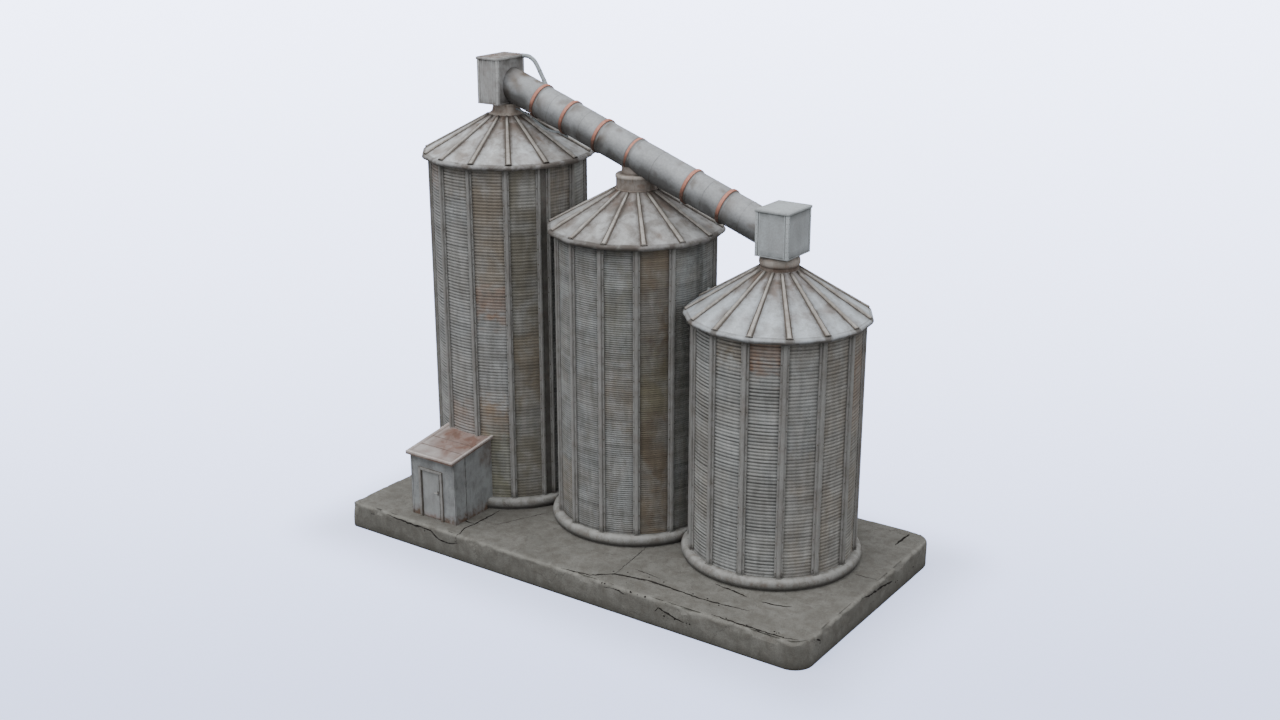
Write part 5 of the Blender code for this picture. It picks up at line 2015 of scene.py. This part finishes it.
@dataclass
class HeadBox(Assembly):
    """A head box of folded sheet with corner trims, a lid and rivets."""

    name: str
    low: Vector
    size: Vector
    finish: SteelFinish
    seams: tuple[float, ...]          # shares of its length where a standing seam runs up its front
    ridges: int = 0                   # ridges across its lid
    lid: float = 0.12
    trim: float = 0.1
    proud: float = 0.012              # how far the trims stand out
    lid_weather: Weather = (0.1, 0.1, 0.0)
    shaded: float = 0.0               # painted shade on its face towards +X

    @property
    def high(self) -> Vector:
        """Its highest corner."""
        return self.low + self.size

    @property
    def joint(self) -> float:
        """Height of the joint under the lid."""
        return self.high.z - self.lid

    def plate(self, over: float, low_z: float, high_z: float) -> tuple[Point, Point]:
        """Returns the corners of a plate as large as the box in plan.

        Args:
            over: How far the plate stands out on every side.
            low_z: Height of its underside.
            high_z: Height of its top.
        Returns:
            Its lowest and its highest corner.
        """
        low, high = self.low, self.high
        return (low.x - over, low.y - over, low_z), (high.x + over, high.y + over, high_z)

    def strips(self) -> list[tuple[Point, Point]]:
        """Lists the corner trims and the standing seams.

        Returns:
            The lowest and the highest corner of each.
        """
        low, high, top = self.low, self.high, self.joint - 0.001
        columns, rows = [((first - self.proud, first + self.trim), (last - self.trim, last + self.proud))
                         for first, last in zip(low.xy, high.xy)]
        found = [((left, front, low.z + 0.002), (right, back, top))
                 for left, right in columns for front, back in rows]
        for share in self.seams:
            x = low.x + self.size.x * share
            found += [((x - 0.012, y - 0.008, low.z + 0.01), (x + 0.012, y + 0.008, top))
                      for y in (low.y, high.y)]
        return found

    def dark_lines(self) -> list[tuple[Point, Point]]:
        """Lists the lines of painted shade along the trims' inner edges and under the lid.

        Returns:
            The lowest and the highest corner of each.
        """
        width, foot, top = 0.022, self.low.z + 0.05, self.joint - 0.001
        (left, front, _), (right, back, _) = self.plate(0.003, foot, top)
        found = [((x, front, foot), (x + width, back, top))
                 for x in (self.low.x + self.trim, self.high.x - self.trim - width)]
        found += [((left, y, foot), (right, y + width, top))
                  for y in (self.low.y + self.trim, self.high.y - self.trim - width)]
        return found + [self.plate(0.003, z, z + width) for z in (foot, top - width)]

    def rivets(self) -> list[tuple[Vector, Vector]]:
        """Lists the rivets on the trims of the four faces.

        Returns:
            The place and the direction of each.
        """
        low, high, inset = self.low, self.high, self.trim / 2
        found = []
        for step in range(9):
            z = low.z + 0.14 + step * (self.size.z - self.lid - 0.26) / 8
            found += [(Vector((x, y, z)), Vector((0.0, aim, 0.0)))
                      for x in (low.x + inset, high.x - inset)
                      for y, aim in ((low.y - self.proud, -1), (high.y + self.proud, 1))]
            found += [(Vector((x, y, z)), Vector((aim, 0.0, 0.0)))
                      for y in (low.y + inset, high.y - inset)
                      for x, aim in ((low.x - self.proud, -1), (high.x + self.proud, 1))]
        return found

    def weather(self, point: Vector) -> Weather:
        """Paints shade on the box under the lid, at the foot and on the face towards +X.

        Args:
            point: A point of the box.
        Returns:
            Its weather.
        """
        edges = (0.7 * smooth_step(point.z, self.joint - 0.25, self.joint)
                 + 0.5 * smooth_step(point.z, self.low.z + 0.2, self.low.z))
        side = self.shaded if point.x > self.high.x - 0.006 else 0.0
        return (min(1.0, edges + side), 0.15, 0.0)

    def build(self) -> None:
        """Builds the box, its lid and its rivets."""
        low, high, joint, body, lid = self.low, self.high, self.joint, Skin(), Skin()
        body.box(*self.plate(0.0, low.z, joint - GAP), 0.01, self.weather, cuts=5)
        for corners in self.strips():
            body.box(*corners, 0.004, (0.0, 0.05, 0.5))
        for corners in self.dark_lines():
            body.box(*corners, 0.001, (1.0, 0.3, 0.0))
        body.box(*self.plate(0.015, low.z, low.z + 0.05), 0.006, (0.45, 0.2, 0.0))
        self.shop.deliver(body.make(f"{self.name}_box_panelled", self.finish), Slot.BOX,
                          f"{self.name}_head_box")
        # Painted shade darkens the lid's lower edge.
        lid.box(*self.plate(0.04, joint, high.z - 0.02), 0.018,
                lambda point: (0.8 * smooth_step(point.z, joint + 0.05, joint), 0.1, 0.5))
        lid.box(*self.plate(0.01, high.z - 0.03, high.z - 0.006), 0.008, self.lid_weather, cuts=3)
        for index in range(self.ridges):
            x = low.x + self.size.x * (index + 0.5) / self.ridges
            lid.box((x - 0.02, low.y - 0.02, high.z - 0.025), (x + 0.02, high.y + 0.02, high.z), 0.01,
                    (0.1, self.lid_weather[1], 0.3))
        self.shop.deliver(lid.make(f"{self.name}_lid_folded", self.finish), Slot.BOX,
                          f"{self.name}_head_lid")
        places, aims = zip(*self.rivets())
        self.shop.deliver(grow(f"{self.name}_box_rivets", bolts_tree(), BOLT_STEEL, places, {"aim": aims},
                               radius=0.009, height=0.006), Slot.BOX)


@dataclass
class WallHood(Assembly):
    """The small louvred hood on the middle silo's wall."""

    angle: float = 8.8
    width: float = 0.24
    depth: float = 0.07
    sunk: float = 0.03
    low_z: float = 10.9
    slats: int = 3

    def build(self) -> None:
        """Builds the hood's shell and its slats."""
        turn, half = math.radians(self.angle), self.width / 2
        wall, face = MIDDLE.shell_radius - self.sunk, MIDDLE.shell_radius + self.depth
        skin, rings, across = Skin(), [], outwards(turn)[1]
        # Painted shade darkens the hood where it meets the wall and inside it; the front rim is lighter.
        for scale, radius, weather in (
                (1.0, wall, (0.9, 0.2, 0.0)), (1.0, face - 0.012, CLEAN), (0.93, face, (0.0, 0.0, 0.5)),
                (0.78, face, CLEAN), (0.75, face - 0.02, (0.9, 0.3, 0.0))):
            outline = [(half * scale, 0.0), *arc((0, 0.14), half * scale, 0, 180, 12), (-half * scale, 0.0)]
            rings.append(skin.ring([MIDDLE.point(turn, radius, self.low_z + z) + across * side
                                    for side, z in outline], weather))
        skin.bridge(rings)
        frame = Matrix.Translation(MIDDLE.point(turn, face - 0.012, 0.0)) @ Matrix.Rotation(turn, 4, "Z")
        for index in range(self.slats):
            z = self.low_z + 0.05 + index * 0.055
            skin.box((-0.01, -half * 0.7, z), (0.01, half * 0.7, z + 0.016), 0.004, (0.2, 0.2, 0.3), frame)
        self.shop.deliver(skin.make("wall_hood_louvred", SHORT_BOX_STEEL), Slot.BOX, "wall_hood")


@dataclass
class Shed(Assembly):
    """The lean-to shed with its sheet roof, framed door and lever handle."""

    left: float = -7.93
    right: float = -5.6
    front: float = -4.69
    roof_left: float = -7.98
    roof_right: float = -5.5
    roof_front: float = -4.92
    roof_back: float = -2.2
    under_z: float = 3.787
    pitch: float = 0.14
    thickness: float = 0.153
    rim: float = 0.12                     # width of the roof's raised rims
    lift: float = 0.05                    # their height
    board: float = 0.09                   # width of a corner board
    batten: tuple[float, float] = (-4.02, -3.985)         # front and back of the battens
    door_left: float = -7.36
    door_width: float = 1.0
    door_height: float = 2.046
    leaf_outer: float = -4.665
    # width of the painted shadow along the leaf's latch side
    latch_margin: float = 0.06
    handle_x: float = -6.52
    handle_height: float = 1.19

    def top(self, y: float) -> float:
        """Returns the height of the roof's top at a depth."""
        return self.under_z + self.pitch * (y - self.roof_front) + self.thickness

    def under(self, y: float) -> float:
        """Returns the height of the roof's underside at a depth."""
        return self.top(y) - self.thickness

    def inset(self, x: float, y: float) -> float:
        """Returns how far a point of the roof lies from its rimmed sides."""
        return min(x - self.roof_left, self.roof_right - x, y - self.roof_front)

    def build(self) -> None:
        """Builds the shed."""
        self.shop.coat(SHED_PANEL, "shed_wall_left", "shed_wall_right", "shed_wall_front_left",
                       "shed_wall_front_right", "shed_lintel")
        self.shop.coat(JAMB_SHADE, "door_jamb_left", "door_jamb_right", "door_head")
        self.build_trims()
        self.build_roof()
        self.build_frame()
        self.build_leaf()
        self.build_handle()

    def build_trims(self) -> None:
        """Builds the corner boards and the batten on each side wall."""
        skin, low, proud, wide = Skin(), SLAB_TOP + 0.002, 0.014, self.board
        high = self.under(self.front) - 0.003
        for left, right in ((self.left - proud, self.left + wide), (self.right - wide, self.right + proud)):
            # Painted shade darkens the boards' tops under the roof.
            skin.box((left, self.front - proud, low), (right, self.front + wide, high), 0.025,
                     lambda point: (0.4 * smooth_step(point.z, 3.6, 3.85),
                                    0.5 * smooth_step(point.z, 1.35, 1.15), 0.35), cuts=6)
        front, back = self.batten
        high = self.under(front) - 0.003
        for left, right in ((self.left - 0.012, self.left + 0.01), (self.right - 0.01, self.right + 0.012)):
            skin.box((left, front, low), (right, back, high), 0.004, (0.75, 0.1, 0.0))
        self.shop.deliver(skin.make("shed_corner_boards", SHED_PANEL), Slot.SHED)

    def roof_weather(self, point: Vector) -> Weather:
        """Returns rust and dark runs towards the back, painted shade in the groove inside the rims, and wear
        on the rims.

        Args:
            point: A point of the roof.
        Returns:
            Its weather.
        """
        back = smooth_step(point.y + 0.9 * wander(point, 0.5, 6.0), -5.0, -3.7)
        run = smooth_step(wander((point.x, 0.25 * point.y, 0.0), 0.22, 3.0), -0.1, 0.5)
        sideways = smooth_step(point.x + 0.3 * wander(point, 0.5, 2.0), self.roof_left + 0.1,
                               self.roof_left + 0.9)
        edge = self.inset(point.x, point.y)
        on_rim = smooth_step(edge, self.rim * 1.1, self.rim * 0.7)
        # The groove just inside the rims is painted shade.
        groove = smooth_step(abs(edge - self.rim * 1.25), 0.05, 0.0)
        dirt_and_shade = max(0.6 * groove, 0.35 * back * run * (1 - on_rim))
        return (dirt_and_shade, 1.15 * back * sideways * (1 - 0.85 * on_rim), 0.8 * on_rim)

    def build_roof(self) -> None:
        """Builds the roof with raised rims on three sides and two cross seams."""
        skin, wall, seams, grid = Skin(), Skin(), Skin(), []
        columns, rows = 48, 44
        for row in range(rows + 1):
            y = self.roof_front + (self.roof_back - self.roof_front) * row / rows
            line = []
            for column in range(columns + 1):
                x = self.roof_left + (self.roof_right - self.roof_left) * column / columns
                edge = self.inset(x, y)
                dip = self.lift * smooth_step(edge, self.rim * 0.5, self.rim * 1.3)
                z = self.top(y) - dip - 0.02 * (1 - smooth_step(edge, 0.0, 0.03))
                line.append((x, y, z + 0.006 * wander((x, y, 0.0), 0.3)))
            grid.append(skin.ring(line, self.roof_weather))
        for near, far in zip(grid, grid[1:]):
            skin.faces += [(near[column], near[column + 1], far[column + 1], far[column])
                           for column in range(columns)]
        border = (grid[0] + [line[-1] for line in grid[1:]] + grid[-1][-2::-1]
                  + [line[0] for line in grid[-2:0:-1]])
        upper = [skin.points[number] for number in border]
        under = [Vector((point.x, point.y, self.under(point.y) + 0.001)) for point in upper]
        # Painted highlight on the upper part of the roof's edge, and painted shade on its lower part and
        # underside.
        feet = skin.ring(under, (1.0, 0.2, 0.0))
        walls = [skin.ring([point.lerp(foot, share) for point, foot in zip(upper, under)], weather)
                 for share, weather in ((0.4, (0.0, 0.1, 0.8)), (0.55, (0.9, 0.3, 0.0)))]
        skin.bridge([border, *walls, feet], caps=False)
        skin.faces.append(tuple(feet[::-1]))
        wall.bridge([wall.ring([TALL.point(turn, TALL.shell_radius + 0.003, z) for turn in whole_turn(128)])
                     for z in (3.0, 5.0)])
        roof = cut(skin.make("shed_roof_rimmed", SHED_ROOF, sharp=40),
                   wall.make("shed_roof_cutter", SHED_ROOF), sharp=40)
        self.shop.deliver(roof, Slot.SHED_ROOF, "shed_roof")
        for y in (-4.1, -3.4):
            place = Matrix.Translation((0, y, self.top(y) - self.lift))
            seams.box((self.roof_left + self.rim, -0.022, -0.02), (self.roof_right - self.rim, 0.022, 0.008),
                      0.004, (1.0, 0.6, 0.0), place @ Matrix.Rotation(math.atan(self.pitch), 4, "X"))
        self.shop.deliver(seams.make("shed_roof_seams", SHED_ROOF), Slot.SHED_ROOF)

    def build_frame(self) -> None:
        """Builds the rounded casing on the face of the door frame."""
        skin, face, foot = Skin(), self.front - 0.045, SLAB_TOP + 0.002
        inset, width, proud = 0.014, 0.11, 0.024
        left, right = self.door_left - inset - width, self.door_left + self.door_width + inset
        head = SLAB_TOP + self.door_height + inset
        top = head + width

        def aged(point: Vector) -> Weather:
            """Returns rust at the foot."""
            return (0.1, 0.7 * smooth_step(point.z, 1.5, 1.12), 0.4)

        for x in (left, right):
            skin.box((x, face - proud, foot), (x + width, face + 0.01, top), 0.012, aged, cuts=5)
        skin.box((left, face - proud - 0.002, head), (right + width, face + 0.01, top + 0.002), 0.012, aged)
        self.shop.deliver(skin.make("door_casing", FRAME_PAINT), Slot.DOOR)

    def build_leaf(self) -> None:
        """Builds the door's outer skin with painted shade along its margins and a wider painted shadow along
        the latch side, and gives the solid leaf its paint.
        """
        self.shop.coat(DOOR_PAINT, "door_leaf")
        left, right = self.door_left + 0.012, self.door_left + 0.985
        low, high = SLAB_TOP + 0.025, SLAB_TOP + 2.032
        face, skin, rings = self.leaf_outer - 0.0005, Skin(), []
        # The dark rings are painted shade along the margins, wider at the latch side as a painted shadow.
        for inset, proud, weather in ((0.0, 0.0, (1.0, 0.3, 0.0)), (0.004, 0.004, (0.9, 0.2, 0.0)),
                                      (0.018, 0.004, (0.9, 0.1, 0.0)), (0.026, 0.0125, (0.1, 0.0, 0.5)),
                                      (0.05, 0.0135, CLEAN)):
            far = right - inset - (self.latch_margin if inset > 0.01 else 0.0)
            rings.append(skin.ring([
                (left + inset, face - proud, low + inset), (far, face - proud, low + inset),
                (far, face - proud, high - inset), (left + inset, face - proud, high - inset)], weather))
        skin.bridge(rings)
        self.shop.deliver(skin.make("door_leaf_skin", DOOR_PAINT), Slot.DOOR, body=Body.DOOR)

    def build_handle(self) -> None:
        """Builds the lever handle with its rounded plate."""
        skin, rings = Skin(), []
        face, z, x = self.leaf_outer - 0.014, SLAB_TOP + self.handle_height, self.handle_x
        # The dark plate is painted shade under the lever, and the worn lever a painted highlight.
        skin.box((x - 0.034, face - 0.01, z - 0.1), (x + 0.034, face + 0.01, z + 0.1), 0.008, (0.9, 0.3, 0.0))
        skin.tube([Vector((x, face - 0.004, z)), Vector((x, face - 0.024, z))], 0.022, (0.3, 0.1, 0.0), 20)
        bend = [Vector((x, face - 0.01, z)), Vector((x, face - 0.028, z))]
        for turn in [math.radians(angle) for angle in (20, 45, 70)]:
            bend.append(Vector((x - 0.018 * (1 - math.cos(turn)), face - 0.028 - 0.016 * math.sin(turn), z)))
        bend += [Vector((x - 0.06, face - 0.044, z)), Vector((x - 0.14, face - 0.044, z - 0.003)),
                 Vector((x - 0.165, face - 0.041, z - 0.008))]
        for index, point in enumerate(bend):
            heading = (bend[min(index + 1, len(bend) - 1)] - bend[max(index - 1, 0)]).normalized()
            across = heading.cross(Vector((0, 0, 1))).normalized()
            up = across.cross(heading)
            scale = 0.6 if index == len(bend) - 1 else 1.0
            rings.append(skin.ring([
                point + scale * (across * 0.012 * math.cos(turn) + up * 0.021 * math.sin(turn))
                for turn in whole_turn(14)], (0.0, 0.0, 0.4)))
        skin.bridge(rings)
        self.shop.deliver(skin.make("door_lever_handle", HANDLE_STEEL), Slot.HANDLE, "door_handle",
                          body=Body.DOOR)


# The studio


def towards(azimuth: float, elevation: float) -> Vector:
    """Returns the direction to a place in the sky, from two angles in degrees."""
    turn, rise = math.radians(azimuth), math.radians(elevation)
    return Vector((math.sin(turn) * math.cos(rise), -math.cos(turn) * math.cos(rise), math.sin(rise)))


@dataclass
class Studio:
    """The pale floor, the soft lights and the camera."""

    azimuth: float = 34.57
    elevation: float = 18.93
    lens: float = 43.02
    eye: tuple[float, float, float] = (32.655, -47.049, 27.621)
    near: tuple[float, ...] = (1.2, 1.4, 2.2, 1.0)
    far: tuple[float, ...] = (4.1, 4.5, 6.3, 1.0)
    shadow: tuple[float, ...] = (0.45, 0.5, 0.62, 1.0)
    under: tuple[float, ...] = (0.22, 0.22, 0.22, 1.0)
    horizon: tuple[float, ...] = (0.62, 0.63, 0.65, 1.0)
    zenith: tuple[float, ...] = (1.15, 1.16, 1.18, 1.0)
    lamps: tuple[tuple[str, float, float, float, float], ...] = (
        ("key", 1.9, 60.0, -32.0, 60.0), ("fill", 0.35, 90.0, 60.0, 35.0))
    reach: float = 900.0                  # of the floor on every side

    def build(self) -> None:
        """Builds the studio."""
        self.build_floor()
        self.build_lights()
        self.build_camera()

    def build_floor(self) -> None:
        """Builds a large glowing floor that pales towards the distance, darkens with a painted shadow around
        the slab, and sends no light back.
        """
        mesh, reach = bpy.data.meshes.new("studio_floor"), self.reach
        mesh.from_pydata([(-reach, -reach, 0), (reach, -reach, 0), (reach, reach, 0), (-reach, reach, 0)],
                         [], [(0, 1, 2, 3)])
        material = bpy.data.materials.new("studio_floor")
        material.use_nodes = True
        wiring = Wiring(material.node_tree)
        place, away = wiring.here(), outwards(math.radians(self.azimuth))[1]
        depth = wiring.vector_math("DOT_PRODUCT", place, away, output=1)
        steepness = self.eye[2] / (depth - Vector(self.eye).dot(away))
        share = (steepness * -1.9 + 1.19).clamped().math("POWER", 1.4)
        # Painted shadow: the floor darkens near the slab.
        beyond = wiring.vector_math("SUBTRACT", wiring.vector_math("ABSOLUTE", place),
                                    (SLAB_LENGTH / 2, SLAB_WIDTH / 2, 0.0))
        outside = wiring.vector_math("MAXIMUM", beyond, (0.0, 0.0, 0.0))
        apart = wiring.vector_math("LENGTH", outside, output=1)
        shaded = wiring.mix(apart.span(0.0, 3.5, 0.5, 0.0), wiring.mix(share, self.near, self.far),
                            self.shadow)
        for name, value in (("Emission Color", shaded), ("Emission Strength", 1.0), ("Roughness", 1.0),
                            ("Base Color", tone(150, 152, 158)), ("Specular IOR Level", 0.0)):
            wiring.feed(wiring.shader.inputs[name], value)
        mesh.materials.append(material)
        floor = show("studio_floor", mesh)
        floor.visible_diffuse = False
        floor.visible_glossy = False

    def build_lights(self) -> None:
        """Builds a sky that is bright above and dark below, and broad soft lights from the upper left."""
        world = bpy.data.worlds.new("pale_sky")
        world.use_nodes = True
        wiring = Wiring(world.node_tree)
        upwards = wiring.split(wiring.make("ShaderNodeTexCoord"))[2]
        low = wiring.mix(upwards.span(-0.25, 0.15), self.under, self.horizon)
        wiring.feed(world.node_tree.nodes["Background"].inputs["Color"],
                    wiring.mix(upwards.span(0.15, 0.9), low, self.zenith))
        bpy.context.scene.world = world
        for name, energy, spread, azimuth, elevation in self.lamps:
            lamp = bpy.data.lights.new(name, "SUN")
            lamp.energy = energy
            lamp.angle = math.radians(spread)
            light, back = show(name, lamp), towards(azimuth, elevation)
            light.rotation_euler = (-back).to_track_quat("-Z", "Y").to_euler()
            light.location = back * 60

    def build_camera(self) -> None:
        """Puts the camera where the photograph was taken from."""
        camera = bpy.data.cameras.new("photo_camera")
        camera.lens = self.lens
        camera.sensor_width = 36.0
        camera.clip_end = 3000.0
        viewer, back = show("photo_camera", camera), towards(self.azimuth, self.elevation)
        viewer.location = self.eye
        viewer.rotation_mode = "QUATERNION"
        viewer.rotation_quaternion = (-back).to_track_quat("-Z", "Y")
        bpy.context.scene.camera = viewer


def clear_scene() -> None:
    """Takes away what the scene starts with."""
    for thing in list(bpy.data.objects):
        bpy.data.objects.remove(thing, do_unlink=True)


def main() -> None:
    """Builds every assembly in order."""
    logging.basicConfig(level=logging.INFO, format="%(name)s: %(message)s")
    clear_scene()
    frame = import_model()
    shop = Workshop(frame)
    Studio().build()
    Slab(shop).build()
    for silo, taller, eave_grime in ((TALL, None, 0.85), (MIDDLE, TALL, 0.9), (SHORT, MIDDLE, 0.42)):
        Plinth(shop, silo).build()
        Shell(shop, silo).build()
        Roof(shop, silo, taller, eave_grime).build()
    Spouts(shop).build()
    Conveyor(shop).build()
    HeadBox(shop, "tall", Vector((-7.31, -0.416, 17.51)), Vector((1.03, 1.66, 1.866)), TALL_BOX_STEEL,
            (0.28, 0.5, 0.72), ridges=7, lid_weather=(0.4, 0.6, 0.0), shaded=0.45).build()
    HeadBox(shop, "short", Vector((5.48, -0.24, 13.13)), Vector((1.352, 1.672, 1.768)), SHORT_BOX_STEEL,
            (0.12, 0.88)).build()
    WallHood(shop).build()
    Shed(shop).build()


if __name__ == "__main__":
    main()
